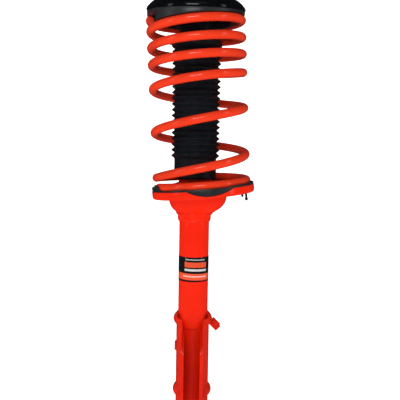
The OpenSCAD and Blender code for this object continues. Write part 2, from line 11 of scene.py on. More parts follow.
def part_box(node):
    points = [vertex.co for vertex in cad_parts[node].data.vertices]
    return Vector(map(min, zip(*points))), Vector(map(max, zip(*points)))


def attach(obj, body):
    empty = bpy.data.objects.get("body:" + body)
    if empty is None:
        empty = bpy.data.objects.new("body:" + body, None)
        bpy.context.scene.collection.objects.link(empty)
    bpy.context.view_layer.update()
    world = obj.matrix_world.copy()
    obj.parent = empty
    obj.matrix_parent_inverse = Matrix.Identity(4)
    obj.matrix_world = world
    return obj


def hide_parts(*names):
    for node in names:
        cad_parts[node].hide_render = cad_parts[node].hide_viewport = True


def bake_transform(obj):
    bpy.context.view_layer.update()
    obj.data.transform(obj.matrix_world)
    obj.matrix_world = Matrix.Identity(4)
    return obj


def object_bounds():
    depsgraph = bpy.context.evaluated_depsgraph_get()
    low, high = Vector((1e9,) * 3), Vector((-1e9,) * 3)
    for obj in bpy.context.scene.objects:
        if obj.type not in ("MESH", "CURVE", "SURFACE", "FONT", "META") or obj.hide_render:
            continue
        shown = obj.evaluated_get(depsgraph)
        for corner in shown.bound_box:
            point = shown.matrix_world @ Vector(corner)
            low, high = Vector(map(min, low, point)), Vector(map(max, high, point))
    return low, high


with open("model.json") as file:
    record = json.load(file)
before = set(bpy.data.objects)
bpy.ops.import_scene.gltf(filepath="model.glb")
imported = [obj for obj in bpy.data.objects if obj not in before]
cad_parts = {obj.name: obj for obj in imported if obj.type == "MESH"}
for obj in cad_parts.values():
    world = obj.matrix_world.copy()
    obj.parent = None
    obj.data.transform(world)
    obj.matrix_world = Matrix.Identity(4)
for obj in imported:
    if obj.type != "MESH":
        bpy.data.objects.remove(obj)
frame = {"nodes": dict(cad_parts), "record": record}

cad_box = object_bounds()

bl_info = {
    "name": "Suspension strut",
    "version": (1, 0, 0),
    "blender": (4, 5, 0),
    "location": "View3D > Sidebar > Strut",
    "description": "Looks for the suspension strut, built on its packed frame",
    "category": "Object",
}


# ---- Sizes taken from the frame, in metres ----

def low(node):
    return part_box(node)[0].z


def high(node):
    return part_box(node)[1].z


def half_width(node):
    return (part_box(node)[1].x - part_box(node)[0].x) / 2


GAP = 0.00005
LAY = 0.00015
SHEET = 0.0026
TUBE_R = half_width("damper_tube")
TUBE_TOP = high("damper_tube")
TUBE_FOOT = low("damper_tube")
TUBE_IN = TUBE_R - 0.0025
CAP_TOP = low("bearing_lower_race") - GAP

# Spring, in its own leaning frame at the level of the lower seat
WIRE_R = 0.007
COIL_R = 0.076
TURNS = 6.96
START = math.radians(-157)
LAST = START + 2 * math.pi * TURNS
LEAN = math.radians(2.94)
PAN_Z = TUBE_TOP - 0.0888
PAN_X = 0.015
PAN_TILT = math.radians(5.6)
PAN_WALL = 0.003
PAN_R = COIL_R + WIRE_R + 0.0037
RIM_H = 0.0133
CAP_R = COIL_R + 0.006
CAP_RISE = 0.025
CAP_RIM = CAP_TOP - CAP_RISE
CAP_LEAN = math.radians(6.5)
CAP_WALL = 0.003
SPRING_X = PAN_X - 0.00267
FIRST_Z = PAN_WALL + WIRE_R + 0.00681
LAST_Z = (CAP_RIM - PAN_Z) / math.cos(LEAN) - 0.00935 - WIRE_R
SEAT_PITCH, CLOSE_PITCH, TAIL_PITCH = 0.0158, 0.0273, 0.0069
WIRE_GAP = 0.0009
SHOULDER_R = COIL_R - 0.010
THREAD_R = 0.007

# The turns at which the pitch changes, and over how many turns it does
OPENS, CLOSES, TAILS = (0.9, 0.15), (2.14, 1.9), (6.42, 0.1)

# The dip in the lower seat's front rim: a round cut, seen from the front
DIP_R, DIP_X, DIP_FLOOR = 0.077, 0.011, PAN_WALL + 0.0003
# The lower isolator's pegs: place on the seat, radius and length
PEGS = ((PAN_R - 0.0205, 0.006, 0.002, 0.0095), (PAN_R - 0.0147, -0.005, 0.0024, 0.015))

# Bracket
BRACKET_FOOT = low("knuckle_bracket")
BRACKET_TOP = high("knuckle_bracket")
WRAP_IN = TUBE_R + LAY
WRAP_OUT = WRAP_IN + SHEET
INNER_EAR = 0.0131
STIFF_OUT = INNER_EAR + SHEET
EAR_IN = STIFF_OUT + LAY
EAR_FRONT = -0.075
BOLT_Y = -0.052
LOW_HOLE = BRACKET_FOOT + 0.026
HIGH_HOLE = LOW_HOLE + 0.065
HOLE_R = 0.0072
BEAD_LEVELS = (BRACKET_TOP - 0.01, BRACKET_FOOT + 0.039)
BEAD_R = 0.01
BEAD_OUT = 0.0052


def eased(u, at, over):
    """How far a change that starts after `at` turns has added up, smoothly over `over` turns."""
    x = (u - at) / over
    if x <= 0:
        return 0.0
    return over * (x**3 - x**4 / 2 if x < 1 else x - 0.5)


def changes(u):
    return [eased(u, at, over) for at, over in (OPENS, CLOSES, TAILS)]


OPENED, CLOSED, TAILED = changes(TURNS)
OPEN_PITCH = (
    LAST_Z - FIRST_Z - SEAT_PITCH * (TURNS - OPENED) - CLOSE_PITCH * CLOSED
    + (CLOSE_PITCH - TAIL_PITCH) * TAILED
) / (OPENED - CLOSED)


def coil_height(u):
    """Height of the wire's centre after u turns, in the spring's own frame."""
    opened, closed, tailed = changes(u)
    return (
        FIRST_Z + SEAT_PITCH * u + (OPEN_PITCH - SEAT_PITCH) * opened
        - (OPEN_PITCH - CLOSE_PITCH) * closed - (CLOSE_PITCH - TAIL_PITCH) * tailed
    )


def spring_place(x, y, z):
    """A point of the spring's own frame, in the strut's frame."""
    c, s = math.cos(-LEAN), math.sin(-LEAN)
    return Vector((SPRING_X + x * c + z * s, y, PAN_Z + z * c - x * s))


def coil_point(t):
    height = coil_height((t - START) / (2 * math.pi))
    return spring_place(COIL_R * math.cos(t), COIL_R * math.sin(t), height)


# Turns an outline's X into the depth and its pull into the width
SWAPPED = Matrix(((0, 1, 0, 0), (1, 0, 0, 0), (0, 0, 1, 0), (0, 0, 0, 1)))


# ---- Modelling helpers ----

def pick(piece):
    """Makes one piece the active and only selected one."""
    bpy.ops.object.select_all(action="DESELECT")
    piece.select_set(True)
    bpy.context.view_layer.objects.active = piece


@contextlib.contextmanager
def editing(piece, mode="VERT"):
    """Edit mode on one piece, with all of it selected."""
    pick(piece)
    bpy.ops.object.mode_set(mode="EDIT")
    bpy.ops.mesh.select_mode(type=mode)
    bpy.ops.mesh.select_all(action="SELECT")
    yield
    bpy.ops.object.mode_set(mode="OBJECT")


def started(name, add, **settings):
    """A new piece from one of Blender's primitives."""
    bpy.ops.object.select_all(action="DESELECT")
    add(**settings)
    piece = bpy.context.object
    piece.name = name
    piece.data.name = name
    return piece


def settled(piece):
    """Moves the piece's place, turn and size into its mesh."""
    pick(piece)
    bpy.ops.object.transform_apply(location=True, rotation=True, scale=True)
    return piece


def closed_up(piece):
    """Merges doubled points, closes what is open and turns all faces outwards."""
    with editing(piece):
        bpy.ops.mesh.remove_doubles(threshold=0.000002)
        bpy.ops.mesh.select_all(action="SELECT")
        bpy.ops.mesh.fill_holes(sides=0)
        bpy.ops.mesh.select_all(action="SELECT")
        bpy.ops.mesh.normals_make_consistent(inside=False)
    return piece


def faced_out(piece):
    """Turns all faces outwards."""
    with editing(piece):
        bpy.ops.mesh.normals_make_consistent(inside=False)
    return piece


def modified(piece, kind, **settings):
    """Adds one modifier, sets it and applies it."""
    pick(piece)
    bpy.ops.object.modifier_add(type=kind)
    modifier = piece.modifiers[-1]
    for key, value in settings.items():
        setattr(modifier, key, value)
    bpy.ops.object.modifier_apply(modifier=modifier.name)
    return piece


def softened(piece, width, segments=2, angle=38):
    """Rounds the piece's sharp edges."""
    return modified(
        piece, "BEVEL", width=width, segments=segments, limit_method="ANGLE",
        angle_limit=math.radians(angle), use_clamp_overlap=True,
    )


def combined(piece, other, operation):
    """A boolean with another piece, which is used up by it."""
    modified(piece, "BOOLEAN", operation=operation, solver="EXACT", object=other)
    bpy.data.objects.remove(other)
    return piece


def cut(piece, cutter):
    return combined(piece, cutter, "DIFFERENCE")


def joined(piece, other):
    return combined(piece, other, "UNION")


def placed(piece, matrix):
    """Puts a piece that was made at the origin where the matrix says."""
    piece.data.transform(matrix)
    return piece


def moved_points(piece, move):
    """Moves each point of the mesh by a rule in code."""
    for point in piece.data.vertices:
        point.co = move(point.co)
    piece.data.update()
    return piece


def rounded(points, radius, cuts=3, closed=True):
    """The outline with each of its corners rounded off. A point may name its own radius."""
    result = []
    count = len(points)
    for i, point in enumerate(points):
        here = Vector(point[:2])
        size = point[2] if len(point) > 2 else radius
        if size == 0 or (not closed and i in (0, count - 1)):
            result.append(tuple(here))
            continue
        back = Vector(points[i - 1][:2]) - here
        ahead = Vector(points[(i + 1) % count][:2]) - here
        first = here + back.normalized() * min(size, back.length * 0.48)
        last = here + ahead.normalized() * min(size, ahead.length * 0.48)
        for k in range(cuts + 1):
            t = k / cuts
            result.append(tuple(first * (1 - t) ** 2 + here * 2 * t * (1 - t) + last * t * t))
    return result


def drawn(name, outline, closed=True):
    """A line of edges along the outline's points, in the XZ plane."""
    piece = started(name, bpy.ops.mesh.primitive_plane_add, size=0.001)
    stops = list(outline) + ([outline[0]] if closed else [])
    with editing(piece):
        bpy.ops.mesh.merge(type="CENTER")
        here = stops[0]
        bpy.ops.transform.translate(value=(here[0], 0, here[1]))
        for there in stops[1:]:
            step = (there[0] - here[0], 0, there[1] - here[1])
            bpy.ops.mesh.extrude_region_move(TRANSFORM_OT_translate={"value": step})
            here = there
    return piece


def turned(name, outline, closed=True, steps=96, arc=360):
    """A lathe piece: the outline of (radius, height) points spun round the damper axis."""
    piece = drawn(name, outline, closed)
    with editing(piece):
        bpy.ops.mesh.spin(
            steps=steps, angle=math.radians(arc), center=(0, 0, 0), axis=(0, 0, 1),
        )
    return closed_up(piece)


def ring(name, inner, outer, foot, top, edge=0.0004, steps=96):
    """A plain ring with rounded edges."""
    corners = [(inner, foot), (outer, foot), (outer, top), (inner, top)]
    return turned(name, rounded(corners, edge), steps=steps)


def pressed(name, outline, depth):
    """A plate: the outline in the XZ plane, filled and pulled out along Y."""
    piece = drawn(name, outline)
    with editing(piece):
        bpy.ops.mesh.remove_doubles(threshold=0.000002)
        bpy.ops.mesh.select_all(action="SELECT")
        bpy.ops.mesh.edge_face_add()
        bpy.ops.mesh.extrude_region_move(TRANSFORM_OT_translate={"value": (0, depth, 0)})
        bpy.ops.mesh.select_all(action="SELECT")
        bpy.ops.mesh.normals_make_consistent(inside=False)
    return piece


def skinned(name, rows, round_rows=False, round_ring=True):
    """A skin over rows of points: a grid whose points are moved in code."""
    if round_ring:
        rows = [list(row) + [row[0]] for row in rows]
    if round_rows:
        rows = list(rows) + [rows[0]]
    across, along = len(rows[0]) - 1, len(rows) - 1
    piece = started(
        name, bpy.ops.mesh.primitive_grid_add,
        x_subdivisions=across, y_subdivisions=along, size=2,
    )
    for point in piece.data.vertices:
        column = round((point.co.x + 1) / 2 * across)
        row = round((point.co.y + 1) / 2 * along)
        point.co = rows[row][column]
    return piece


def bar(name, radius, middle, length, axis="Z", sides=48):
    """A round cutter."""
    turns = {"X": (0, math.pi / 2, 0), "Y": (math.pi / 2, 0, 0), "Z": (0, 0, 0)}
    return settled(started(
        name, bpy.ops.mesh.primitive_cylinder_add, vertices=sides, radius=radius,
        depth=length, location=middle, rotation=turns[axis],
    ))


def threaded(name, radius, pitch, foot, top, chamfer=0.0012, depth=0.0009):
    """A screw thread: a turned bar whose points are moved in along a helix."""
    rows = int(round((top - foot) / pitch * 8))
    levels = [foot + (top - foot) * i / rows for i in range(rows + 1)]
    outline = [(0, foot)] + [(radius, z) for z in levels] + [(0, top)]
    piece = turned(name, outline, closed=False, steps=36)

    def helix(co):
        r = math.hypot(co.x, co.y)
        if r < radius * 0.9:
            return co
        turn = math.atan2(co.y, co.x) / (2 * math.pi)
        share = (co.z / pitch - turn) % 1
        inward = depth * (1 - abs(2 * share - 1))
        end = max(0.0, chamfer - min(co.z - foot, top - co.z))
        new = radius - max(inward, end)
        return Vector((co.x * new / r, co.y * new / r, co.z))

    return moved_points(piece, helix)


def welded(name, centre_line, radius, ripples, closed=True):
    """A weld bead: a rippled cord of metal along the line."""
    rows = []
    count = len(centre_line)
    for i, point in enumerate(centre_line):
        point = Vector(point)
        before = Vector(centre_line[i - 1] if closed or i else centre_line[i])
        after = Vector(centre_line[(i + 1) % count] if closed or i < count - 1 else centre_line[i])
        along = (after - before).normalized()
        side = along.cross(Vector((0, 0, 1))).normalized()
        up = side.cross(along)
        wave = 1 + 0.14 * abs(math.sin(math.pi * ripples * i / count))
        wave += 0.05 * math.sin(5 * 2 * math.pi * i / count + 1)
        if not closed:
            wave *= min(1.0, 0.35 + 3 * min(i, count - 1 - i) / count * 2)
        rows.append([
            point + (side * math.cos(a) + up * math.sin(a)) * radius * wave
            for a in [2 * math.pi * k / 10 for k in range(10)]
        ])
    return closed_up(skinned(name, rows, round_rows=closed))


def circle_line(radius, height, count=150, start=0.0, arc=2 * math.pi):
    """Points round the damper axis."""
    last = count if arc == 2 * math.pi else count - 1
    return [
        (radius * math.cos(start + arc * i / last), radius * math.sin(start + arc * i / last), height)
        for i in range(count)
    ]


def made(piece, body, slot, nodes=(), finish=None, angle=35):
    """The last step of every piece: its shading, its finish chosen by slot, its body, and hiding the nodes it
    stands for.
    """
    settled(piece)
    bpy.ops.object.shade_smooth_by_angle(angle=math.radians(angle))
    piece.data.materials.clear()
    piece.data.materials.append(finish or finish_for(slot))
    if nodes:
        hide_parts(*nodes)
    if body:
        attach(piece, body)
    return piece


# ---- Shader maths ----

class Value:
    """A node's output that can be used in sums."""

    def __init__(self, finish, socket):
        self.finish = finish
        self.socket = socket

    def sum_of(self, operation, first, second):
        return self.finish.node("ShaderNodeMath", {"operation": operation}, {0: first, 1: second})

    def __add__(self, other):
        return self.sum_of("ADD", self, other)

    def __radd__(self, other):
        return self.sum_of("ADD", other, self)

    def __sub__(self, other):
        return self.sum_of("SUBTRACT", self, other)

    def __rsub__(self, other):
        return self.sum_of("SUBTRACT", other, self)

    def __mul__(self, other):
        return self.sum_of("MULTIPLY", self, other)

    def __rmul__(self, other):
        return self.sum_of("MULTIPLY", other, self)


class Finish:
    """A material that is being built round one Principled shader."""

    def __init__(self, name, **sockets):
        self.material = bpy.data.materials.new(name)
        self.material.use_nodes = True
        self.tree = self.material.node_tree
        self.tree.nodes.clear()
        self.shader = self.tree.nodes.new("ShaderNodeBsdfPrincipled")
        output = self.tree.nodes.new("ShaderNodeOutputMaterial")
        self.tree.links.new(self.shader.outputs[0], output.inputs[0])
        self.place = self.node("ShaderNodeTexCoord", {}, {}, "Object")
        for key, value in sockets.items():
            self.give(key.replace("_", " "), value)

    def node(self, kind, settings, inputs, output=0):
        """One node: its settings first, then the values or links of its sockets."""
        node = self.tree.nodes.new(kind)
        for key, value in settings.items():
            setattr(node, key, value)
        for key, value in inputs.items():
            self.feed(node.inputs[key], value)
        return Value(self, node.outputs[output])

    def feed(self, socket, value):
        if isinstance(value, Value):
            self.tree.links.new(value.socket, socket)
        else:
            socket.default_value = value

    def give(self, key, value):
        """Sets or links one of the shader's own sockets."""
        self.feed(self.shader.inputs[key], value)

    def noise(self, scale, detail=3.0, roughness=0.55, stretch=(1, 1, 1)):
        """Noise of `scale` waves per metre, about 0.5 on average."""
        spot = self.place
        if stretch != (1, 1, 1):
            spot = self.node("ShaderNodeMapping", {}, {"Vector": spot, "Scale": stretch})
        inputs = {"Vector": spot, "Scale": scale, "Detail": detail, "Roughness": roughness}
        return self.node("ShaderNodeTexNoise", {}, inputs, "Fac")

    def between(self, value, start, end, first=0.0, last=1.0):
        """Maps value from start..end to first..last, held at both ends."""
        inputs = {"Value": value, "From Min": start, "From Max": end, "To Min": first, "To Max": last}
        return self.node("ShaderNodeMapRange", {"clamp": True}, inputs)

    def mixed(self, factor, first, second):
        """Two colours mixed."""
        return self.node(
            "ShaderNodeMix", {"data_type": "RGBA"},
            {"Factor": factor, 6: first, 7: second}, 2,
        )

    def axis(self, name):
        """X, Y or Z of the place on the piece, in metres."""
        return self.node("ShaderNodeSeparateXYZ", {}, {"Vector": self.place}, name)

    def bumped(self, height, distance, strength=1.0):
        inputs = {"Height": height, "Distance": distance, "Strength": strength}
        self.give("Normal", self.node("ShaderNodeBump", {}, inputs))


def shade(colour, amount):
    """A lighter or darker version of a colour."""
    return tuple(min(1.0, c * amount) for c in colour[:3]) + (1.0,)


def paint(name, colour, gloss=0.16, peel=1.0, dull=0.0, coat=0.35):
    """Gloss paint over steel: orange peel, thin spots, fine dust and a clear top."""
    f = Finish(name, IOR=1.5, Specular_IOR_Level=0.08, Coat_Roughness=0.07, Coat_IOR=1.5)
    cloud = f.noise(14, 4)
    fine = f.noise(420, 2)
    dust = f.between(f.noise(1900, 1, 0.4), 0.70, 0.78)
    scuff = f.between(f.noise(60, 6, 0.7, (1, 1, 0.25)), 0.62, 0.80)
    tone = f.mixed(f.between(cloud, 0.35, 0.68), shade(colour, 0.90), shade(colour, 1.06))
    tone = f.mixed(scuff * 0.16, tone, shade(colour, 0.62))
    f.give("Base Color", f.mixed(dust * 0.10, tone, (0.75, 0.5, 0.42, 1)))
    f.give("Roughness", f.between(fine, 0.3, 0.7, gloss, gloss + 0.09) + scuff * 0.16 + dull)
    f.give("Coat Weight", f.between(cloud, 0.3, 0.7, coat, coat + 0.08) - scuff * 0.1)
    f.bumped(f.noise(260, 2) * 0.7 + fine * 0.3, 0.00010 * peel, 0.5)
    return f.material


def rubber(name, colour, rough=0.42, bloom=0.12, grain=900, shine=0.22):
    """Moulded rubber: fine grain, pale bloom in patches and a soft shine."""
    f = Finish(name, IOR=1.5, Specular_IOR_Level=shine)
    patches = f.noise(38, 5, 0.6)
    fine = f.noise(grain, 3, 0.6)
    tone = f.mixed(f.between(patches, 0.3, 0.7), shade(colour, 0.75), shade(colour, 1.3))
    pale = (colour[0] + 0.05, colour[1] + 0.055, colour[2] + 0.06, 1)
    f.give("Base Color", f.mixed(f.between(f.noise(90, 6, 0.7), 0.55, 0.8) * bloom, tone, pale))
    f.give("Roughness", f.between(fine, 0.3, 0.7, rough - 0.06, rough + 0.08) + patches * 0.06)
    f.bumped(fine, 0.00012, 0.45)
    return f.material


def bare_metal(name, colour, rough=0.28, stretch=(1, 1, 1), scale=900, tint=None):
    """Bare or plated metal: machining marks, stains and worn bright spots."""
    f = Finish(name, Metallic=1.0)
    marks = f.noise(scale, 3, 0.6, stretch)
    stain = f.between(f.noise(70, 5, 0.65), 0.45, 0.75)
    tone = f.mixed(f.between(marks, 0.3, 0.7), shade(colour, 0.82), shade(colour, 1.1))
    f.give("Base Color", f.mixed(stain * 0.35, tone, tint or shade(colour, 0.6)))
    f.give("Roughness", f.between(marks, 0.25, 0.75, rough - 0.07, rough + 0.1) + stain * 0.12)
    f.bumped(marks, 0.00006, 0.5)
    return f.material


def moulded(name, colour, rough=0.4):
    """Engineering plastic: matt grain with slightly glossy flow lines."""
    f = Finish(name, IOR=1.48)
    flow = f.noise(45, 4, 0.6, (1, 1, 3))
    fine = f.noise(1400, 2)
    f.give("Base Color", f.mixed(f.between(flow, 0.3, 0.7), shade(colour, 0.86), shade(colour, 1.08)))
    f.give("Roughness", f.between(fine, 0.3, 0.7, rough - 0.05, rough + 0.1) - flow * 0.06)
    f.bumped(fine, 0.00008, 0.4)
    return f.material


def label_film(name, red, black, white):
    """The sticker: plain bands and bars printed on a glossy film, all by height and angle."""
    f = Finish(name, IOR=1.46, Coat_Roughness=0.05)
    top, tall = high("tube_label"), high("tube_label") - low("tube_label")
    tilt = bpy.context.scene.strut_sizes.label_tilt
    x, y, z = f.axis("X"), f.axis("Y"), f.axis("Z")
    down = (top - z - x * math.tan(tilt)) * (1 / tall)
    turn = f.node("ShaderNodeMath", {"operation": "ARCTAN2"}, {0: x, 1: y * -1})

    def band(start, end):
        return f.between(down, start, start + 0.008) * (1 - f.between(down, end, end + 0.008))

    def span(start, end):
        return f.between(turn, start, start + 0.01) * (1 - f.between(turn, end, end + 0.01))

    lower = band(0.66, 0.925)
    bars = band(0.20, 0.41) * span(-0.62, 0.95)
    lines = band(0.47, 0.56) * span(-0.62, 0.95) + band(0.08, 0.11) * span(-0.55, 0.8)
    pale = band(0.75, 0.80) * span(-0.75, 0.95)
    tone = f.mixed(f.noise(300, 2) * 0.4, black, shade(black, 1.8))
    tone = f.mixed(lower, tone, red)
    tone = f.mixed(bars * 0.9, tone, red)
    tone = f.mixed(lines * 0.75, tone, white)
    f.give("Base Color", f.mixed(pale * 0.55, tone, white))
    f.give("Roughness", f.between(f.noise(500, 3), 0.3, 0.7, 0.2, 0.32))
    f.give("Coat Weight", f.between(f.noise(25, 3), 0.3, 0.7, 0.4, 0.6))
    f.bumped(f.noise(150, 3), 0.00008, 0.4)
    return f.material


FINISHES = {}


def colours():
    return bpy.context.scene.strut_colours


def make_finish(slot):
    c = colours()
    if slot in ("red_tube", "red_seat"):
        return paint(slot, tuple(c.paint))
    if slot == "red_bracket":
        return paint(slot, shade(tuple(c.paint), 0.86), 0.2, 1.2, 0, 0.8)
    if slot == "spring_red":
        return paint(slot, tuple(c.spring), 0.22, 1.2, 0.02, 0.5)
    if slot == "seat_black":
        return paint(slot, tuple(c.seat), 0.12, 0.8, 0, 0.4)
    if slot == "boot_rubber":
        return rubber(slot, tuple(c.boot), 0.36, 0.25, 700)
    if slot == "pad_rubber":
        return rubber(slot, tuple(c.pad), 0.30, 0.35, 1100, shine=0.4)
    if slot == "seal_rubber":
        return rubber(slot, (0.012, 0.012, 0.013, 1), 0.45, 0.1)
    if slot == "foam":
        return rubber(slot, (0.55, 0.42, 0.16, 1), 0.7, 0.4, 500)
    if slot == "zinc_plate":
        return paint(slot, (0.035, 0.036, 0.038, 1), 0.32, 1.3, 0.06)
    if slot == "bright_zinc":
        return bare_metal(slot, (0.62, 0.63, 0.66, 1), 0.32, tint=(0.55, 0.5, 0.38, 1))
    if slot == "bearing_steel":
        return bare_metal(slot, (0.66, 0.66, 0.67, 1), 0.16, (1, 1, 6))
    if slot == "cage_plastic":
        return moulded(slot, (0.62, 0.57, 0.44, 1))
    if slot == "rod_chrome":
        return bare_metal(slot, (0.74, 0.75, 0.77, 1), 0.12, (1, 1, 5), 1500)
    if slot == "sinter":
        return bare_metal(slot, (0.33, 0.33, 0.35, 1), 0.5, scale=2200)
    if slot == "band_plastic":
        return moulded(slot, (0.16, 0.11, 0.07, 1), 0.5)
    if slot == "bush_bronze":
        return bare_metal(slot, (0.55, 0.34, 0.16, 1), 0.35, (1, 1, 4))
    if slot == "cold_steel":
        return bare_metal(slot, (0.5, 0.5, 0.52, 1), 0.34, (1, 1, 0.12), tint=(0.3, 0.24, 0.2, 1))
    if slot == "label_film":
        return label_film(slot, tuple(c.label_red), (0.006, 0.006, 0.007, 1), (0.8, 0.8, 0.78, 1))
    raise RuntimeError(f"no finish is written for the slot {slot}")


def finish_for(slot):
    if slot not in FINISHES:
        FINISHES[slot] = make_finish(slot)
    return FINISHES[slot]


# ---- Sizes and colours a user may change ----

def colour_prop(name, description, default):
    return bpy.props.FloatVectorProperty(
        name=name, description=description, subtype="COLOR", size=4, min=0, max=1, default=default,
    )


def length_prop(name, description, default):
    return bpy.props.FloatProperty(
        name=name, description=description, default=default, min=0, unit="LENGTH", subtype="DISTANCE",
    )


class StrutColours(bpy.types.PropertyGroup):
    paint: colour_prop("Paint", "Gloss paint of the damper body", (0.86, 0.018, 0.003, 1))
    spring: colour_prop("Spring", "Coating of the coil spring", (0.80, 0.040, 0.010, 1))
    seat: colour_prop("Upper seat", "Gloss black of the upper spring seat", (0.0014, 0.0022, 0.0032, 1))
    boot: colour_prop("Boot", "Rubber of the dust boot", (0.0055, 0.0085, 0.0115, 1))
    pad: colour_prop("Isolators", "Rubber under and over the spring", (0.018, 0.0195, 0.021, 1))
    label_red: colour_prop("Label red", "Bands of the sticker", (0.85, 0.085, 0.022, 1))


class StrutSizes(bpy.types.PropertyGroup):
    edge: length_prop("Sheet edge", "Rounding of pressed sheet edges", 0.0006)
    ridge_round: length_prop("Ridge rounding", "Rounding of the boot's ridges and valleys", 0.0013)
    weld: length_prop("Weld bead", "Radius of the weld beads", 0.0012)
    stud_pitch: length_prop("Stud pitch", "Thread pitch of the tower studs and the rod", 0.0015)
    label_tilt: bpy.props.FloatProperty(
        name="Label tilt", description="How far the sticker's bands lean", subtype="ANGLE",
        default=math.radians(1.2),
    )


def sizes():
    return bpy.context.scene.strut_sizes


# ---- The pieces ----

class StrutOperator(bpy.types.Operator):
    bl_options = {"REGISTER"}


class STRUT_OT_spring(StrutOperator):
    """Coil spring with its progressive pitch and cut ends"""

    bl_idname = "strut.spring"
    bl_label = "Coil spring"

    def execute(self, context):
        sides, per_turn = 28, 66
        even_pitch = 0.1
        wire = started(
            "spring", bpy.ops.mesh.primitive_circle_add, vertices=sides, radius=WIRE_R,
            location=(COIL_R, 0, 0), rotation=(math.pi / 2, 0, 0),
        )
        settled(wire)
        modified(
            wire, "SCREW", angle=2 * math.pi * TURNS, screw_offset=even_pitch * TURNS,
            steps=int(per_turn * TURNS), render_steps=int(per_turn * TURNS), use_smooth_shade=True,
        )
        with editing(wire):
            bpy.ops.mesh.remove_doubles(threshold=0.000002)
            bpy.ops.mesh.select_all(action="DESELECT")
            bpy.ops.mesh.select_non_manifold()
            bpy.ops.mesh.fill_holes(sides=0)
        # Both cut faces get two flat insets, rings of edges with no chamfer or dimple
        with editing(wire, "FACE"):
            bpy.ops.mesh.select_all(action="DESELECT")
            mesh = bmesh.from_edit_mesh(wire.data)
            for face in mesh.faces:
                face.select = len(face.verts) > 4
            bmesh.update_edit_mesh(wire.data)
            bpy.ops.mesh.inset(thickness=0.0007)
            bpy.ops.mesh.inset(thickness=0.0012)
        shares = []

        def wound(co):
            turn = math.atan2(co.y, co.x) / (2 * math.pi)
            u = turn + round(co.z / even_pitch - turn)
            out = math.hypot(co.x, co.y) - COIL_R
            up = co.z - even_pitch * u
            slope = (coil_height(u + 0.01) - coil_height(u - 0.01)) / 0.02
            tilt = math.atan(slope / (2 * math.pi * COIL_R))
            t = START + 2 * math.pi * u
            along = -up * math.sin(tilt)
            r = COIL_R + out
            x = r * math.cos(t) - along * math.sin(t)
            y = r * math.sin(t) + along * math.cos(t)
            shares.append(u)
            return spring_place(x, y, coil_height(min(max(u, 0), TURNS)) + up * math.cos(tilt))

        moved_points(wire, wound)
        faced_out(wire)
        made(wire, None, "spring_red", ["coil_spring"], angle=50)
        top, foot = coil_point(LAST), coil_point(START)
        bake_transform(wire)
        # A weight for each point: the share of the open coils' closable gap above its turn; nothing uses the
        # weights
        closest = 0.0165
        table = [0.0]
        cuts = 600
        for i in range(cuts):
            a, b = TURNS * i / cuts, TURNS * (i + 1) / cuts
            rise = coil_height(b) - coil_height(a)
            table.append(table[-1] + max(0.0, rise - closest * (b - a)))
        total = table[-1]
        weights = [
            1 - float(np.interp(min(max(u, 0), TURNS) / TURNS * cuts, range(cuts + 1), table)) / total
            for u in shares
        ]
        return {"FINISHED"}


class STRUT_OT_boot(StrutOperator):
    """Dust boot with its neck, top fold, bellows and lower sleeve"""

    bl_idname = "strut.boot"
    bl_label = "Dust boot"

    def execute(self, context):
        boot_top = CAP_TOP - CAP_WALL - LAY
        boot_foot = low("dust_boot")
        ridge_r, valley_r, neck_r, wall = 0.0414, 0.0355, 0.0287, 0.0016
        fold = boot_top - 0.07785
        first = fold - 0.0125
        ridges, sleeve = 19, 0.0338
        pitch = (first - boot_foot - sleeve) / (ridges - 0.5)
        soft = sizes().ridge_round
        outer = [
            (neck_r, fold + 0.0165, 0.004), (neck_r + 0.0012, fold + 0.0135, 0.001),
            (valley_r - 0.002, fold + 0.009, 0.003), (ridge_r + 0.001, fold + 0.0045, 0.0035),
            (ridge_r + 0.001, fold - 0.0045, 0.0035), (valley_r, fold - 0.0076, soft),
        ]
        for i in range(ridges):
            outer.append((ridge_r, first - i * pitch, soft))
            outer.append((valley_r, first - (i + 0.5) * pitch, soft))
        outer += [
            (valley_r, boot_foot + 0.006, 0.002), (valley_r + 0.0004, boot_foot + 0.0035, 0.001),
            (valley_r + 0.0004, boot_foot + 0.0006, 0.0006), (valley_r - 0.0003, boot_foot, 0.0003),
        ]
        inner = [(p[0] - wall, p[1], p[2]) for p in reversed(outer[:-2])]
        loop = outer + [(valley_r - wall, boot_foot, 0.0003)] + inner + [
            (neck_r - wall, boot_top - 0.003, 0.0004), (0.025, boot_top - 0.003, 0.0004),
            (0.025, boot_top, 0.0004), (neck_r + 0.005, boot_top, 0.0004),
            (neck_r + 0.005, boot_top - 0.0024, 0.0006), (neck_r, boot_top - 0.0024, 0.0006),
        ]
        boot = turned("dust_boot_bellows", rounded(loop, soft, 3), steps=112)
        made(boot, None, "boot_rubber", ["dust_boot"], angle=70)
        top_fold, last_valley = fold + 0.004, first - (ridges - 0.5) * pitch
        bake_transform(boot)
        weights = [
            min(1.0, max(0.0, (top_fold - v.co.z) / (top_fold - last_valley)))
            for v in boot.data.vertices
        ]
        return {"FINISHED"}


def cap_frame():
    """Where the upper seat's pan lies: it leans to the front, centred on the top coil."""
    a = LAST - math.radians(100)
    shift = coil_point(a).x - COIL_R * math.cos(a)
    return Matrix.Translation((shift, 0, CAP_RIM)) @ Matrix.Rotation(CAP_LEAN, 4, "X")


def pan_frame():
    """Where the lower seat lies, level with its underside."""
    return Matrix.Translation((PAN_X, 0, PAN_Z)) @ Matrix.Rotation(-PAN_TILT, 4, "Y")


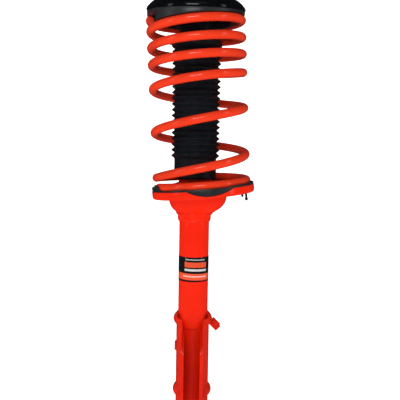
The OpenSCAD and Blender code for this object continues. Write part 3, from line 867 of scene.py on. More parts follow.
class STRUT_OT_upper_seat(StrutOperator):
    """Gloss black upper spring seat"""

    bl_idname = "strut.upper_seat"
    bl_label = "Upper spring seat"

    def execute(self, context):
        hub_r, shoulder = 0.042, SHOULDER_R
        pan = turned("upper_seat_pan", rounded([
            (CAP_R - CAP_WALL, -0.002, 0.0006), (CAP_R, -0.002, 0.0008), (CAP_R, 0.002, 0.0022),
            (shoulder + 0.009, 0.0098, 0.003), (shoulder, 0.016, 0.004),
            (hub_r - 0.003, CAP_RISE, 0), (hub_r - 0.003, CAP_RISE - CAP_WALL, 0),
            (shoulder - 0.001, 0.013, 0.003), (CAP_R - CAP_WALL, 0.0005, 0.002),
        ], 0.001, 4), steps=128)
        placed(pan, cap_frame())
        hub = turned("hub", rounded([
            (0.024, CAP_TOP - CAP_WALL), (hub_r - CAP_WALL, CAP_TOP - CAP_WALL, 0.002),
            (hub_r - CAP_WALL, CAP_TOP - 0.016), (hub_r, CAP_TOP - 0.016),
            (hub_r, CAP_TOP, 0.0015), (0.024, CAP_TOP),
        ], 0.0006), steps=128)
        joined(pan, hub)
        with editing(pan):
            bpy.ops.mesh.bisect(
                plane_co=(0, 0, CAP_TOP), plane_no=(0, 0, 1), clear_outer=True, use_fill=True,
            )
        made(pan, "upper_seat", "seat_black", ["upper_spring_seat"])
        return {"FINISHED"}


class STRUT_OT_upper_isolator(StrutOperator):
    """Rubber between the upper seat and the spring, which follows the last turn of the wire"""

    bl_idname = "strut.upper_isolator"
    bl_label = "Upper isolator"

    def execute(self, context):
        place = cap_frame()
        shift = place.translation.x
        inner, skirt = COIL_R - 0.018, COIL_R - WIRE_R - 0.0012
        skirt_foot = CAP_RIM - 0.022
        shoulder = SHOULDER_R

        def section(a, t):
            under = coil_point(t).z + WIRE_R + LAY + 0.0003
            level = [
                (inner, skirt_foot, 0.0012), (skirt, skirt_foot, 0.0012), (skirt, under, 0.0006),
                (CAP_R - 0.001, under, 0.0018),
            ]
            in_cap = [
                (CAP_R - 0.001, -0.002 - LAY, 0.0008), (CAP_R - CAP_WALL - 0.0008, -0.002 - LAY, 0.0003),
                (CAP_R - CAP_WALL - 0.0008, -0.0004, 0.0006), (shoulder - 0.002, 0.0118, 0.001),
                (inner, 0.0118, 0.0012),
            ]
            flat = []
            for r, z, soft in level:
                flat.append((r, z, soft))
            for r, z, soft in in_cap:
                p = place @ Vector((r * math.cos(a), r * math.sin(a), z))
                flat.append((math.hypot(p.x - shift, p.y), p.z, soft))
            return [
                Vector((shift + r * math.cos(a), r * math.sin(a), z))
                for r, z in rounded(flat, 0.001, 2)
            ]

        # The rubber steps down to the turn below a little past the wire's cut end
        cut_end, past = LAST - 12 * math.pi, 28
        rows = [
            section(cut_end + math.radians(s), 10 * math.pi + cut_end + math.radians(s))
            for s in [past + 1 + 3.0 * i for i in range(110)]
        ]
        rows += [
            section(cut_end + 2 * math.pi + math.radians(s), LAST + math.radians(s))
            for s in (0, 7, 14, 21, past)
        ]
        pad = closed_up(skinned("upper_pad", rows, round_rows=True))
        made(pad, "upper_seat", "pad_rubber", ["upper_isolator"], angle=50)
        return {"FINISHED"}


class STRUT_OT_lower_seat(StrutOperator):
    """Lower spring seat with its rim, dip, drain holes and neck"""

    bl_idname = "strut.lower_seat"
    bl_label = "Lower spring seat"

    def execute(self, context):
        edge = sizes().edge
        pan = turned("lower_seat_pan", rounded([
            (0.018, 0), (PAN_R - 0.0035, 0, 0.002), (PAN_R - 0.001, 0.001, 0.0015),
            (PAN_R, 0.0035, 0.002),
            (PAN_R, RIM_H, 0.0011), (PAN_R - PAN_WALL, RIM_H, 0.0009),
            (PAN_R - PAN_WALL, PAN_WALL, 0.0015), (0.018, PAN_WALL),
        ], 0.0005, 4), steps=180)
        reach = 0.2
        cut(pan, bar("dip", DIP_R, (DIP_X, -reach / 2, DIP_FLOOR + DIP_R), reach, "Y", 256))
        for angle in (100, 150, 210):
            a = math.radians(angle)
            spot = (0.55 * PAN_R * math.cos(a), 0.55 * PAN_R * math.sin(a), 0.001)
            cut(pan, bar("drain", 0.005, spot, 0.02))
        for x, y, r, _ in PEGS:
            cut(pan, bar("peg_hole", r + 0.0003, (x, y, 0.001), 0.02, "Z", 24))
        placed(pan, pan_frame())
        cut(pan, bar("bore", TUBE_R + LAY + 0.002, (0, 0, PAN_Z), 0.1, "Z", 96))
        softened(pan, edge, 2, 50)
        made(pan, "strut_body", "red_seat", ["lower_spring_seat"])
        wall = 0.002
        inner, outer = TUBE_R + LAY, TUBE_R + LAY + wall
        neck = turned("lower_seat_neck", rounded([
            (inner, PAN_Z - 0.002), (outer, PAN_Z - 0.002), (outer + 0.0016, PAN_Z + 0.0012, 0.001),
            (outer, PAN_Z + 0.0065, 0.003), (outer, PAN_Z + 0.027, 0.0008), (inner, PAN_Z + 0.027),
        ], 0.0004), steps=96)
        made(neck, "strut_body", "red_seat")
        return {"FINISHED"}


class STRUT_OT_bowl(StrutOperator):
    """Pressed bowl under the lower seat, with its collar and weld"""

    bl_idname = "strut.bowl"
    bl_label = "Bowl and collar"

    def execute(self, context):
        # Height above the seat's level, radius and how far the bowl's middle stands to one side
        layers = [
            (-0.032, 0.0287, 0.0), (-0.0305, 0.0306, 0.0004), (-0.028, 0.0340, 0.0010),
            (-0.0250, 0.0381, 0.0018), (-0.022, 0.0415, 0.0025), (-0.0175, 0.0449, 0.0036),
            (-0.013, 0.0474, 0.0045), (-0.006, 0.0488, 0.0052), (0.0, 0.0494, 0.0056),
            (0.008, 0.0498, 0.006),
        ]
        heights = [layer[0] for layer in layers]
        wall = 0.003
        outer = [(layer[1], layer[0] + PAN_Z) for layer in layers]
        inner = [
            (max(layer[1] - wall, TUBE_R + 0.0002), layer[0] + PAN_Z + 0.0004) for layer in reversed(layers)
        ]
        bowl = turned("seat_bowl", outer + inner, steps=120)
        sideways = [layer[2] for layer in layers]

        def shifted(co):
            level = min(max(co.z - PAN_Z, heights[0]), heights[-1])
            return Vector((co.x + float(np.interp(level, heights, sideways)), co.y, co.z))

        moved_points(bowl, shifted)
        place = pan_frame()
        up = place.to_3x3() @ Vector((0, 0, 1))
        with editing(bowl):
            bpy.ops.mesh.bisect(
                plane_co=place.translation - up * LAY, plane_no=up, clear_outer=True, use_fill=True,
            )
        closed_up(bowl)
        made(bowl, "strut_body", "red_seat", ["seat_support"])
        foot = PAN_Z - 0.043
        collar = turned("bowl_collar", rounded([
            (TUBE_R + 0.0001, foot), (TUBE_R + 0.0022, foot, 0.001), (TUBE_R + 0.0028, foot + 0.004, 0.001),
            (TUBE_R + 0.0028, foot + 0.0085, 0.001), (TUBE_R + 0.0060, foot + 0.0112, 0.0015),
            (TUBE_R + 0.0058, foot + 0.0128, 0.0008), (TUBE_R + 0.0001, foot + 0.0128),
        ], 0.0004), steps=96)
        made(collar, "strut_body", "red_seat")
        weld = welded("collar_weld", circle_line(TUBE_R + 0.0009, foot - 0.0002, 240), sizes().weld, 46)
        made(weld, "strut_body", "red_seat")
        return {"FINISHED"}


class STRUT_OT_lower_isolator(StrutOperator):
    """Rubber under the spring, with its lip, end stop and two pegs"""

    bl_idname = "strut.lower_isolator"
    bl_label = "Lower isolator"

    def execute(self, context):
        place = pan_frame()
        end, deg = START, math.radians(1)
        stop_from, stop_to = end - 4 * deg, end - 38 * deg
        pad_low = PAN_WALL + 0.009

        def on_pan(p):
            height = (p.z - PAN_Z) * math.cos(PAN_TILT)
            return height - (p.x - PAN_X) * math.sin(PAN_TILT)

        def under_wire(a):
            return on_pan(coil_point(a)) - WIRE_R - WIRE_GAP

        def pad_top(a):
            if a > end:
                if a < 100 * deg:
                    return under_wire(a)
                return max(pad_low, under_wire(100 * deg) - (a / deg - 100) * 0.0002)
            return under_wire(end) if a > stop_from else pad_low

        def rim_edge(x):
            if abs(x - DIP_X) >= DIP_R:
                return RIM_H
            return min(RIM_H, DIP_FLOOR + DIP_R - math.sqrt(DIP_R**2 - (x - DIP_X) ** 2))

        def lip(a):
            return float(np.interp(
                a / deg, [-165, -105, 45, 60, 95, 110, 165, 180, 195, 255],
                [0.0004, 0.0034, 0.0034, 0, 0, 0.0042, 0.0042, 0, 0.0004, 0.0034],
            ))

        def cheek(a):
            """The wall of rubber that stands in front of the wire's cut end."""
            return float(np.interp((a - end) / deg, [-2, -1.9, 9, 14], [0, 1, 1, 0]))

        def section(a, raised):
            r_in, r_wall = PAN_R - PAN_WALL - 0.020, PAN_R - PAN_WALL - LAY
            r_out = PAN_R - 0.0006
            coil = coil_point(a)
            sideways = (coil.x - PAN_X) * math.cos(PAN_TILT) + (coil.z - PAN_Z) * math.sin(PAN_TILT)
            wire_side = math.hypot(sideways, coil.y) + WIRE_R + WIRE_GAP + 0.0003
            r_lip = min(wire_side, r_out - 0.0008)
            top = max(pad_top(a), raised)
            front = -math.pi < a < 0
            edge = (rim_edge(PAN_R * math.cos(a)) if front else RIM_H) + LAY
            high_edge = max(top, edge + 0.0003) + (0 if raised else lip(a))
            wall_top = max(high_edge, on_pan(coil) + WIRE_R * 0.75)
            high_edge += cheek(a) * (wall_top - high_edge)
            loop = [
                (r_in, PAN_WALL + LAY, 0.0006), (r_wall, PAN_WALL + LAY, 0.0004), (r_wall, edge, 0.0003),
                (r_out, edge, 0.0006), (r_out, high_edge, 0.0009), (r_lip, high_edge, 0.0007),
                (r_lip, top, 0.0009), (r_in, top, 0.0012),
            ]
            return [
                place @ Vector((r * math.cos(a), r * math.sin(a), z)) for r, z in rounded(loop, 0.001, 2)
            ]

        rows = [section(end - 2 * deg, 0)]
        step = 2.0
        count = int((360 + (stop_to - end) / deg) / step) + 1
        rows += [section(end + step * deg * i, 0) for i in range(count)]
        foot_gap, stop_height = 0.6 * deg, 0.020
        block = [
            360 * deg + stop_to + foot_gap + (stop_from - stop_to - foot_gap) * i / 8 for i in range(9)
        ]
        rows += [section(a, stop_height) for a in block]
        pad = closed_up(skinned("lower_pad", rows, round_rows=True))
        made(pad, "strut_body", "pad_rubber", ["lower_isolator"], angle=50)
        for i, (x, y, r, length) in enumerate(PEGS):
            peg = turned(f"peg_{i + 1}", rounded([
                (0, -length, 0), (r * 0.55, -length), (r * 1.12, -length + r * 0.8),
                (r * 1.12, -length + r * 1.7), (r * 0.8, -length + r * 2.1), (r * 0.8, -r * 0.4),
                (r * 1.2, -0.0001), (r, 0.0001), (r, PAN_WALL + 0.001), (0, PAN_WALL + 0.001, 0),
            ], r * 0.3, 3, closed=False), closed=False, steps=24)
            placed(peg, place @ Matrix.Translation((x, y, 0)))
            made(peg, "strut_body", "pad_rubber", angle=60)
        return {"FINISHED"}


class STRUT_OT_tube(StrutOperator):
    """Damper tube with its rolled ends, its foot weld and the sticker"""

    bl_idname = "strut.tube"
    bl_label = "Damper tube"

    def execute(self, context):
        tube = turned("tube_body", rounded([
            (TUBE_IN, TUBE_FOOT, 0.0008), (TUBE_R, TUBE_FOOT, 0.0016), (TUBE_R, BRACKET_TOP, 0),
            (TUBE_R, TUBE_TOP, 0.0009), (TUBE_IN, TUBE_TOP, 0.0005),
        ], 0.001, 4), steps=128)
        made(tube, "strut_body", "red_tube", ["damper_tube"])
        foot = turned("tube_foot", rounded([
            (0, TUBE_FOOT + 0.0032, 0), (0.015, TUBE_FOOT + 0.0032, 0.002),
            (0.018, TUBE_FOOT + 0.002, 0.002), (TUBE_IN - GAP, TUBE_FOOT + 0.002, 0.0005),
            (TUBE_IN - GAP, TUBE_FOOT + 0.006, 0.0005), (0, TUBE_FOOT + 0.006, 0),
        ], 0.001, 4, closed=False), closed=False, steps=96)
        made(foot, "strut_body", "red_tube", ["base_cap"])
        weld = welded("foot_weld", circle_line(TUBE_IN - 0.0009, TUBE_FOOT + 0.0019, 220), 0.0009, 40)
        made(weld, "strut_body", "red_tube")
        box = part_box("tube_label")
        arc = 210
        film = turned("label", rounded([
            (TUBE_R + GAP, box[0].z), (TUBE_R + 0.0003, box[0].z),
            (TUBE_R + 0.0003, box[1].z), (TUBE_R + GAP, box[1].z),
        ], 0.00008, 2), steps=72, arc=arc)
        placed(film, Matrix.Rotation(math.radians(-90 + arc / 2), 4, "Z"))
        made(film, "strut_body", "label_film", ["tube_label"])
        return {"FINISHED"}


def side_top(y, top, shoulder):
    """Upper edge of the bracket's side at distance y from the damper axis."""
    return float(np.interp(
        y, [-0.075, -0.0745, -0.073, -0.067, -0.034, -0.024, -0.008, 1],
        [shoulder - 0.008, shoulder - 0.0035, shoulder, shoulder + 0.006, top - 0.014, top - 0.011, top, top],
    ))


def side_foot(y):
    """Lower edge of the bracket's side at distance y from the damper axis."""
    foot = BRACKET_FOOT
    return float(np.interp(
        y, [-0.075, -0.0745, -0.071, -0.067, -0.061, 1],
        [foot + 0.014, foot + 0.0085, foot + 0.004, foot + 0.0015, foot, foot],
    ))


EAR_STEPS = (
    -0.075, -0.0748, -0.0744, -0.0737, -0.0728, -0.0715, -0.070, -0.068, -0.0655, -0.063, -0.060,
    -0.057, -0.054, -0.051, -0.048, -0.045, -0.042, -0.039, -0.036, -0.034, -0.0315, -0.029, -0.0265,
)


def bracket_sheet(name, side, web_front, foot_of, top_of):
    """A sheet bent round the tube with an ear at each end: a skin over its middle, made thick."""
    middle = WRAP_IN + SHEET / 2
    corner_y = -math.sqrt(middle**2 - side**2)
    corner = math.atan2(corner_y, side)
    if web_front:
        sweep = [corner - (math.pi + 2 * corner) * i / 36 for i in range(1, 36)]
    else:
        sweep = [corner + (math.pi - 2 * corner) * i / 90 for i in range(1, 90)]
    right = [(side, y) for y in EAR_STEPS if y < corner_y - 0.002]
    wrap = [(middle * math.cos(a), middle * math.sin(a)) for a in sweep]
    left = [(-x, y) for x, y in reversed(right)]
    plan = [(x, y, 0) for x, y in right] + [(side, corner_y, 0.004)]
    plan += [(x, y, 0) for x, y in wrap] + [(-side, corner_y, 0.004)] + [(x, y, 0) for x, y in left]
    plan = rounded(plan, 0, 4, closed=False)
    skin_rows = []
    rows = 96
    for i in range(rows + 1):
        row = []
        for x, y in plan:
            foot, top = foot_of(x, y), top_of(x, y)
            z = foot + (top - foot) * i / rows
            r = math.hypot(x, y)
            angle = math.degrees(math.atan2(y, x)) % 360
            past = max(0.0, min(angle - 215, 325 - angle)) if 215 < angle < 325 else 0.0
            fade = max(0.0, 1 - past / 11) if not web_front else 0.0
            out = 0.0
            for level in BEAD_LEVELS:
                away = abs(z - level)
                if away < BEAD_R and r < middle * 1.03:
                    rise = math.sqrt(BEAD_R**2 - away**2) - (BEAD_R - BEAD_OUT)
                    out = max(out, rise * fade * fade * (3 - 2 * fade))
            row.append(Vector((x * (1 + out / r), y * (1 + out / r), z)))
        skin_rows.append(row)
    piece = skinned(name, skin_rows, round_ring=False)
    faced_out(piece)
    modified(piece, "SOLIDIFY", thickness=SHEET, offset=0.0, use_even_offset=True)
    for z in (LOW_HOLE, HIGH_HOLE):
        cut(piece, bar("bolt_hole", HOLE_R, (0, BOLT_Y, z), 0.2, "X", 64))
    softened(piece, sizes().edge, 2, 50)
    return piece


class STRUT_OT_bracket(StrutOperator):
    """Knuckle bracket: outer sheet with its beads and ears, and the inner stiffener"""

    bl_idname = "strut.bracket"
    bl_label = "Knuckle bracket"

    def execute(self, context):
        shoulder = BRACKET_TOP - 0.044
        outer = bracket_sheet(
            "bracket_outer", EAR_IN + SHEET / 2, False,
            lambda x, y: side_foot(y), lambda x, y: side_top(y, BRACKET_TOP, shoulder),
        )
        made(outer, "strut_body", "red_bracket", ["knuckle_bracket"])
        stiff_top = BRACKET_TOP - 0.012
        web_foot = TUBE_FOOT - 0.004

        def web_low(x, y):
            if abs(x) < INNER_EAR:
                return web_foot
            return max(side_foot(y), float(np.interp(y, [-0.034, -0.026], [BRACKET_FOOT, web_foot])))

        inner = bracket_sheet(
            "bracket_inner", INNER_EAR + SHEET / 2, True, web_low,
            lambda x, y: side_top(y, stiff_top, BRACKET_TOP - 0.047),
        )
        made(inner, "strut_body", "red_bracket", ["bracket_stiffener"])
        start, arc = math.radians(-45), math.radians(270)
        top_line = circle_line(TUBE_R + 0.0008, BRACKET_TOP + 0.0001, 170, start, arc)
        made(welded("bracket_top_weld", top_line, 0.0011, 40, False), "strut_body", "red_bracket")
        start, arc = math.radians(-122), math.radians(64)
        web_line = circle_line(TUBE_R + 0.0009, stiff_top - 0.0105, 60, start, arc)
        made(welded("web_weld", web_line, 0.0008, 12, False), "strut_body", "red_bracket")
        return {"FINISHED"}


class STRUT_OT_small_brackets(StrutOperator):
    """Brake hose bracket and wire tab"""

    bl_idname = "strut.small_brackets"
    bl_label = "Hose bracket and wire tab"

    def execute(self, context):
        wall = 0.0025
        channel = [
            (-0.003, -0.005, 0.001), (0.013, -0.005, 0.001), (0.013, 0.007, 0.0008),
            (0.013 - wall, 0.007, 0.0003),
            (0.013 - wall, -0.005 + wall, 0.0008), (-0.003 + wall, -0.005 + wall, 0.0008),
            (-0.003 + wall, 0.007, 0.0003), (-0.003, 0.007, 0.0008),
        ]
        hose = pressed("hose_clip_bracket", rounded(channel, 0.0005, 3), 0.017)
        placed(hose, Matrix.Translation((-0.008, 0, 0)) @ SWAPPED)
        cut(hose, bar("hose_hole", 0.0042, (0.001, 0.005, -0.005), 0.008, "Z", 40))
        faced_out(hose)
        softened(hose, 0.0003, 2, 45)
        spot = (WRAP_OUT + BEAD_OUT + 0.004, 0.006, BRACKET_TOP - 0.024)
        placed(hose, Matrix.Translation(spot) @ Matrix.Rotation(math.radians(45), 4, "Y"))
        made(hose, "strut_body", "red_bracket", ["hose_bracket"])
        wide, tall, thick = 0.018, 0.013, 0.003 - LAY
        tab = pressed("wire_clip_tab", rounded([
            (0, 0, 0.001), (wide, 0, 0.003), (wide, tall, 0.003), (0, tall, 0.001),
        ], 0.001, 4), thick)
        placed(tab, SWAPPED)
        cut(tab, bar("wire_hole", 0.00325, (thick / 2, 0.011, 0.0065), 0.02, "X", 32))
        faced_out(tab)
        softened(tab, 0.0004, 2, 45)
        placed(tab, Matrix.Translation((-WRAP_OUT - 0.003, 0.004, BRACKET_TOP - 0.070)))
        made(tab, "strut_body", "red_bracket", ["wire_tab"])
        return {"FINISHED"}


class STRUT_OT_mount(StrutOperator):
    """Top mount: plate, cup, rubber, sleeve, washer, rod nut and threaded studs"""

    bl_idname = "strut.mount"
    bl_label = "Top mount"

    def execute(self, context):
        pitch = sizes().stud_pitch
        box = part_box("mount_plate")
        plate_r, plate_h = half_width("mount_plate"), box[1].z - box[0].z
        cup_r = half_width("mount_cup")
        cup_foot = low("mount_cup")
        plate = turned("mount_disc", rounded([
            (cup_r + GAP, -plate_h, 0.0005), (plate_r - 0.004, -plate_h, 0.001),
            (plate_r, -plate_h + 0.0006, 0.001),
            (plate_r, -0.0005, 0.0008), (plate_r - 0.0016, 0, 0.001), (0.0465, 0, 0.0008),
            (0.0445, -0.0008, 0.0008), (0.0400, -0.0008, 0.0008), (0.0385, 0, 0.0008),
            (cup_r + GAP, 0, 0.0005),
        ], 0.001), steps=144)
        stud_r, stud_circle = 0.005, 0.052
        spots = [math.radians(90 + 120 * i) for i in range(3)]
        for a in spots:
            middle = (stud_circle * math.cos(a), stud_circle * math.sin(a), 0)
            cut(plate, bar("stud_hole", stud_r + GAP, middle, 0.03, "Z", 40))
        softened(plate, 0.0003, 2, 60)
        made(plate, "top_mount", "zinc_plate", ["mount_plate"])
        wall = 0.003
        cup = turned("mount_cup_pressing", rounded([
            (0.022, cup_foot), (cup_r, cup_foot, 0.0025), (cup_r, 0, 0.0008), (cup_r - wall, 0, 0.0006),
            (cup_r - wall, cup_foot + wall, 0.0006), (0.022, cup_foot + wall),
        ], 0.0008, 4), steps=128)
        made(cup, "top_mount", "zinc_plate", ["mount_cup"])
        weld = welded("cup_weld", circle_line(cup_r + 0.0006, -plate_h - 0.0006, 220), 0.0013, 42)
        made(weld, "top_mount", "zinc_plate")
        sleeve_r, rubber_out = half_width("mount_sleeve"), cup_r - wall - GAP
        rubber_foot, rubber_top = low("mount_rubber"), high("mount_rubber")
        pad = turned("mount_rubber_ring", rounded([
            (sleeve_r + GAP, rubber_foot, 0.0006), (rubber_out, rubber_foot, 0.0008),
            (rubber_out, rubber_top, 0.0012), (rubber_out - 0.004, rubber_top, 0.0015),
            (rubber_out - 0.0075, rubber_top - 0.0045, 0.0025),
            (sleeve_r + 0.0065, rubber_top - 0.0045, 0.0025),
            (sleeve_r + 0.0032, rubber_top, 0.0015), (sleeve_r + GAP, rubber_top, 0.0008),
        ], 0.001, 5), steps=112)
        made(pad, "top_mount", "pad_rubber", ["mount_rubber"], angle=50)
        sleeve = ring(
            "mount_spacer", THREAD_R + GAP, sleeve_r, low("mount_sleeve"), high("mount_sleeve"), 0.0005,
        )
        made(sleeve, "top_mount", "bright_zinc", ["mount_sleeve"])
        washer_foot, washer_top = low("rod_washer"), high("rod_washer")
        washer_r = half_width("rod_washer")
        washer = turned("rod_nut_washer", rounded([
            (THREAD_R + GAP, washer_foot), (washer_r - 0.003, washer_foot, 0.001),
            (washer_r, washer_foot + 0.0008),
            (washer_r, washer_top - 0.0012, 0.0008), (washer_r - 0.0022, washer_top - 0.0004, 0.0008),
            (0.0165, washer_top - 0.0004, 0.0006), (0.0155, washer_top, 0.0005),
            (THREAD_R + GAP, washer_top),
        ], 0.0004), steps=96)
        made(washer, "top_mount", "bright_zinc", ["rod_washer"])
        nut_foot, nut_top = low("rod_nut"), high("rod_nut")
        corner_r = 0.021 / 2 / math.cos(math.radians(30))
        nut = settled(started(
            "rod_top_nut", bpy.ops.mesh.primitive_cylinder_add, vertices=6, radius=corner_r,
            depth=nut_top - nut_foot, location=(0, 0, (nut_foot + nut_top) / 2),
            rotation=(0, 0, math.radians(30)),
        ))
        # A cone on both ends rounds the six corners
        blank = turned("nut_blank", rounded([
            (0, nut_foot, 0), (0.0101, nut_foot, 0), (corner_r + 0.0003, nut_foot + 0.0013, 0),
            (corner_r + 0.0003, nut_top - 0.0013, 0), (0.0101, nut_top, 0), (0, nut_top, 0),
        ], 0, closed=False), closed=False, steps=96)
        combined(nut, blank, "INTERSECT")
        cut(nut, bar("nut_bore", THREAD_R + GAP, (0, 0, (nut_foot + nut_top) / 2), 0.03))
        softened(nut, 0.00025, 2, 30)
        placed(nut, Matrix.Rotation(math.radians(-30), 4, "Z"))
        made(nut, "top_mount", "bright_zinc", ["rod_nut"], angle=25)
        head = turned("stud_1", rounded([
            (0, -plate_h - 0.003, 0), (0.0078, -plate_h - 0.003, 0.0006),
            (0.008, -plate_h - 0.0005, 0.0006),
            (0.0074, -plate_h - GAP, 0.0004), (0.0049, -plate_h - GAP, 0.0002),
            (0.0049, 0.003, 0.0004), (0.0046, 0.0034, 0.0003), (0, 0.0034, 0),
        ], 0.0005, 3, closed=False), closed=False, steps=48)
        thread = threaded("stud_thread", stud_r, pitch, 0.0030, high("tower_studs"))
        joined(head, thread)
        placed(head, Matrix.Translation((stud_circle, 0, 0)))
        studs = [head]
        for i in (1, 2):
            twin = head.copy()
            twin.data = head.data.copy()
            twin.name = f"stud_{i + 1}"
            bpy.context.collection.objects.link(twin)
            studs.append(twin)
        for stud, a in zip(studs, spots):
            placed(stud, Matrix.Rotation(a, 4, "Z"))
            made(stud, "top_mount", "bright_zinc", ["tower_studs"] if stud is head else (), angle=30)
        return {"FINISHED"}


class STRUT_OT_rod(StrutOperator):
    """Piston rod with its threaded top, and the bump stop"""

    bl_idname = "strut.rod"
    bl_label = "Rod and bump stop"

    def execute(self, context):
        rod_r = half_width("piston_rod")
        step = low("bump_stop_cup") - GAP
        shims = high("rebound_shims") + GAP
        foot, top = low("piston_rod"), high("piston_rod")
        rod = turned("damper_rod", rounded([
            (0, foot, 0), (0.006, foot, 0.0008), (0.006, shims, 0), (rod_r, shims, 0.0006),
            (rod_r, step, 0.0008), (0.0069, step, 0), (0.0069, 0.0006, 0),
            (0.0066, 0.0012, 0), (0, 0.0012, 0),
        ], 0.001, 3, closed=False), closed=False, steps=96)
        thread = threaded("rod_thread", THREAD_R, sizes().stud_pitch, 0.0008, top, 0.0015)
        joined(rod, thread)
        cut(rod, settled(started(
            "hex_key", bpy.ops.mesh.primitive_cylinder_add, vertices=6, radius=0.0035,
            depth=0.01, location=(0, 0, top),
        )))
        made(rod, "top_mount", "rod_chrome", ["piston_rod"], angle=30)
        stop_top, stop_foot, stop_r = high("bump_stop"), low("bump_stop"), half_width("bump_stop")
        length = stop_top - stop_foot
        third = length / 3
        z = [stop_top - third * k for k in range(4)]
        stop = turned("bump_stop_foam", rounded([
            (rod_r + 0.001, z[0]), (stop_r, z[0], 0.002), (stop_r, z[1] + 0.006, 0.004),
            (stop_r - 0.003, z[1], 0.002), (stop_r - 0.001, z[1] - 0.006, 0.004),
            (stop_r - 0.001, z[2] + 0.006, 0.004), (stop_r - 0.005, z[2], 0.002),
            (stop_r - 0.003, z[2] - 0.006, 0.004), (stop_r - 0.006, z[3], 0.003), (rod_r + 0.001, z[3]),
        ], 0.001, 4), steps=96)
        made(stop, "top_mount", "foam", ["bump_stop"], angle=60)
        return {"FINISHED"}


class STRUT_OT_carried_over(StrutOperator):
    """Finishes for the inner pieces that keep their own shape"""

    bl_idname = "strut.carried_over"
    bl_label = "Inner pieces"

    def execute(self, context):
        slots = {part["node"]: part["material_slot"] for part in frame["record"]["subparts"]}
        for name, node in frame["nodes"].items():
            if node.hide_render:
                continue
            finish = finish_for(slots[name])
            if not node.data.materials:
                node.data.materials.append(finish)
            for i in range(len(node.data.materials)):
                node.data.materials[i] = finish
        return {"FINISHED"}


def soft_light(name, place, target, size, watts):
    """A rectangular studio light that points at the target."""
    lamp = bpy.data.lights.new(name, "AREA")
    lamp.shape = "RECTANGLE"
    lamp.size, lamp.size_y = size
    lamp.energy = watts
    holder = bpy.data.objects.new(name, lamp)
    bpy.context.collection.objects.link(holder)
    holder.location = place
    holder.rotation_euler = (Vector(target) - Vector(place)).to_track_quat("-Z", "Y").to_euler()
    return holder


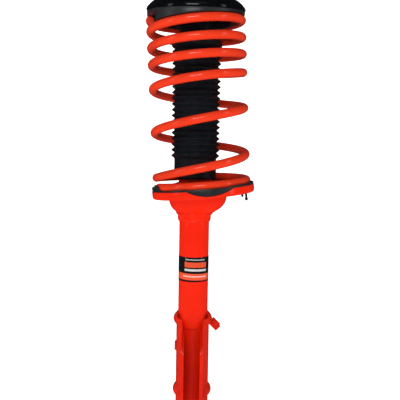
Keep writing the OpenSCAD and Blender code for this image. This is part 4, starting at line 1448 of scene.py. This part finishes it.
class STRUT_OT_stage(StrutOperator):
    """Pale floor and backdrop, soft lights and the camera"""

    bl_idname = "strut.stage"
    bl_label = "Stage"

    def execute(self, context):
        floor_z = cad_box[0].z - 0.001
        half, wall_y, wall_top, bend = 4.0, 2.6, 1.0, 0.8
        profile = [(-3.6, floor_z, 0), (wall_y, floor_z, bend), (wall_y, wall_top, 0)]
        sweep = drawn("backdrop", rounded(profile, 0, 12, closed=False), closed=False)
        with editing(sweep):
            bpy.ops.mesh.extrude_region_move(TRANSFORM_OT_translate={"value": (0, 2 * half, 0)})
        placed(sweep, Matrix.Translation((-half, 0, 0)) @ SWAPPED)
        pick(sweep)
        bpy.ops.object.shade_smooth()
        f = Finish("pale_backdrop", Roughness=0.9, Emission_Strength=0.80)
        f.give("Base Color", f.mixed(f.noise(3, 2), (0.93, 0.93, 0.93, 1), (0.97, 0.97, 0.97, 1)))
        f.give("Emission Color", (1, 1, 1, 1))
        sweep.data.materials.append(f.material)
        # The pale sheet is seen and lights the strut, but is not mirrored in its gloss
        sweep.visible_glossy = False
        middle = (0, 0, -0.36)
        soft_light("front_box", (-0.20, -1.6, 0.42), middle, (0.75, 0.45), 10)
        soft_light("left_box", (-1.5, -0.9, 0.2), middle, (0.28, 1.6), 3.0)
        soft_light("right_box", (1.5, -0.7, 0.2), middle, (0.28, 1.6), 2.6)
        soft_light("top_box", (0, -0.9, 1.5), middle, (1.2, 0.8), 1.2)
        world = bpy.data.worlds.new("studio")
        world.use_nodes = True
        tree = world.node_tree
        tree.nodes.clear()
        # The room is pale to look at and gives soft light, but its reflections are kept dim
        rays = tree.nodes.new("ShaderNodeLightPath")
        out = tree.nodes.new("ShaderNodeOutputWorld")
        skies = []
        seen_strength, soft_strength, mirrored_strength = 1.0, 0.38, 0.02
        for strength in (seen_strength, soft_strength, mirrored_strength):
            sky = tree.nodes.new("ShaderNodeBackground")
            sky.inputs["Color"].default_value = (1, 1, 1, 1)
            sky.inputs["Strength"].default_value = strength
            skies.append(sky)
        seen, soft, mirrored = skies

        def by_ray(ray, others, chosen):
            mix = tree.nodes.new("ShaderNodeMixShader")
            for i, output in enumerate((rays.outputs[ray], others.outputs[0], chosen.outputs[0])):
                tree.links.new(output, mix.inputs[i])
            return mix

        unlit = by_ray("Is Glossy Ray", soft, mirrored)
        tree.links.new(by_ray("Is Camera Ray", unlit, seen).outputs[0], out.inputs[0])
        context.scene.world = world
        context.scene.view_settings.view_transform = "Standard"
        lens = bpy.data.cameras.new("camera")
        lens.lens = 54
        lens.sensor_width = 36
        holder = bpy.data.objects.new("camera", lens)
        bpy.context.collection.objects.link(holder)
        down, roll = math.radians(5.37), math.radians(0.95)
        turn = Euler((math.pi / 2 - down, 0, 0)).to_matrix() @ Euler((0, 0, roll)).to_matrix()
        holder.matrix_world = Matrix.Translation((0.0092, -1.018, -0.285)) @ turn.to_4x4()
        context.scene.camera = holder
        return {"FINISHED"}


PIECES = (
    STRUT_OT_spring, STRUT_OT_boot, STRUT_OT_upper_seat, STRUT_OT_upper_isolator,
    STRUT_OT_lower_seat, STRUT_OT_bowl, STRUT_OT_lower_isolator, STRUT_OT_tube,
    STRUT_OT_bracket, STRUT_OT_small_brackets, STRUT_OT_mount, STRUT_OT_rod,
    STRUT_OT_carried_over, STRUT_OT_stage,
)


class STRUT_PT_panel(bpy.types.Panel):
    """Builds the strut piece by piece"""

    bl_label = "Suspension strut"
    bl_idname = "STRUT_PT_panel"
    bl_space_type = "VIEW_3D"
    bl_region_type = "UI"
    bl_category = "Strut"

    def draw(self, context):
        for group in (context.scene.strut_colours, context.scene.strut_sizes):
            column = self.layout.column()
            for name in group.__annotations__:
                column.prop(group, name)
        for piece in PIECES:
            self.layout.operator(piece.bl_idname)


CLASSES = (StrutColours, StrutSizes, *PIECES, STRUT_PT_panel)


def register():
    for cls in CLASSES:
        bpy.utils.register_class(cls)
    bpy.types.Scene.strut_colours = bpy.props.PointerProperty(type=StrutColours)
    bpy.types.Scene.strut_sizes = bpy.props.PointerProperty(type=StrutSizes)


def unregister():
    del bpy.types.Scene.strut_colours
    del bpy.types.Scene.strut_sizes
    for cls in reversed(CLASSES):
        bpy.utils.unregister_class(cls)


def main():
    register()
    for piece in PIECES:
        group, name = piece.bl_idname.split(".")
        getattr(getattr(bpy.ops, group), name)()


if __name__ == "__main__":
    main()
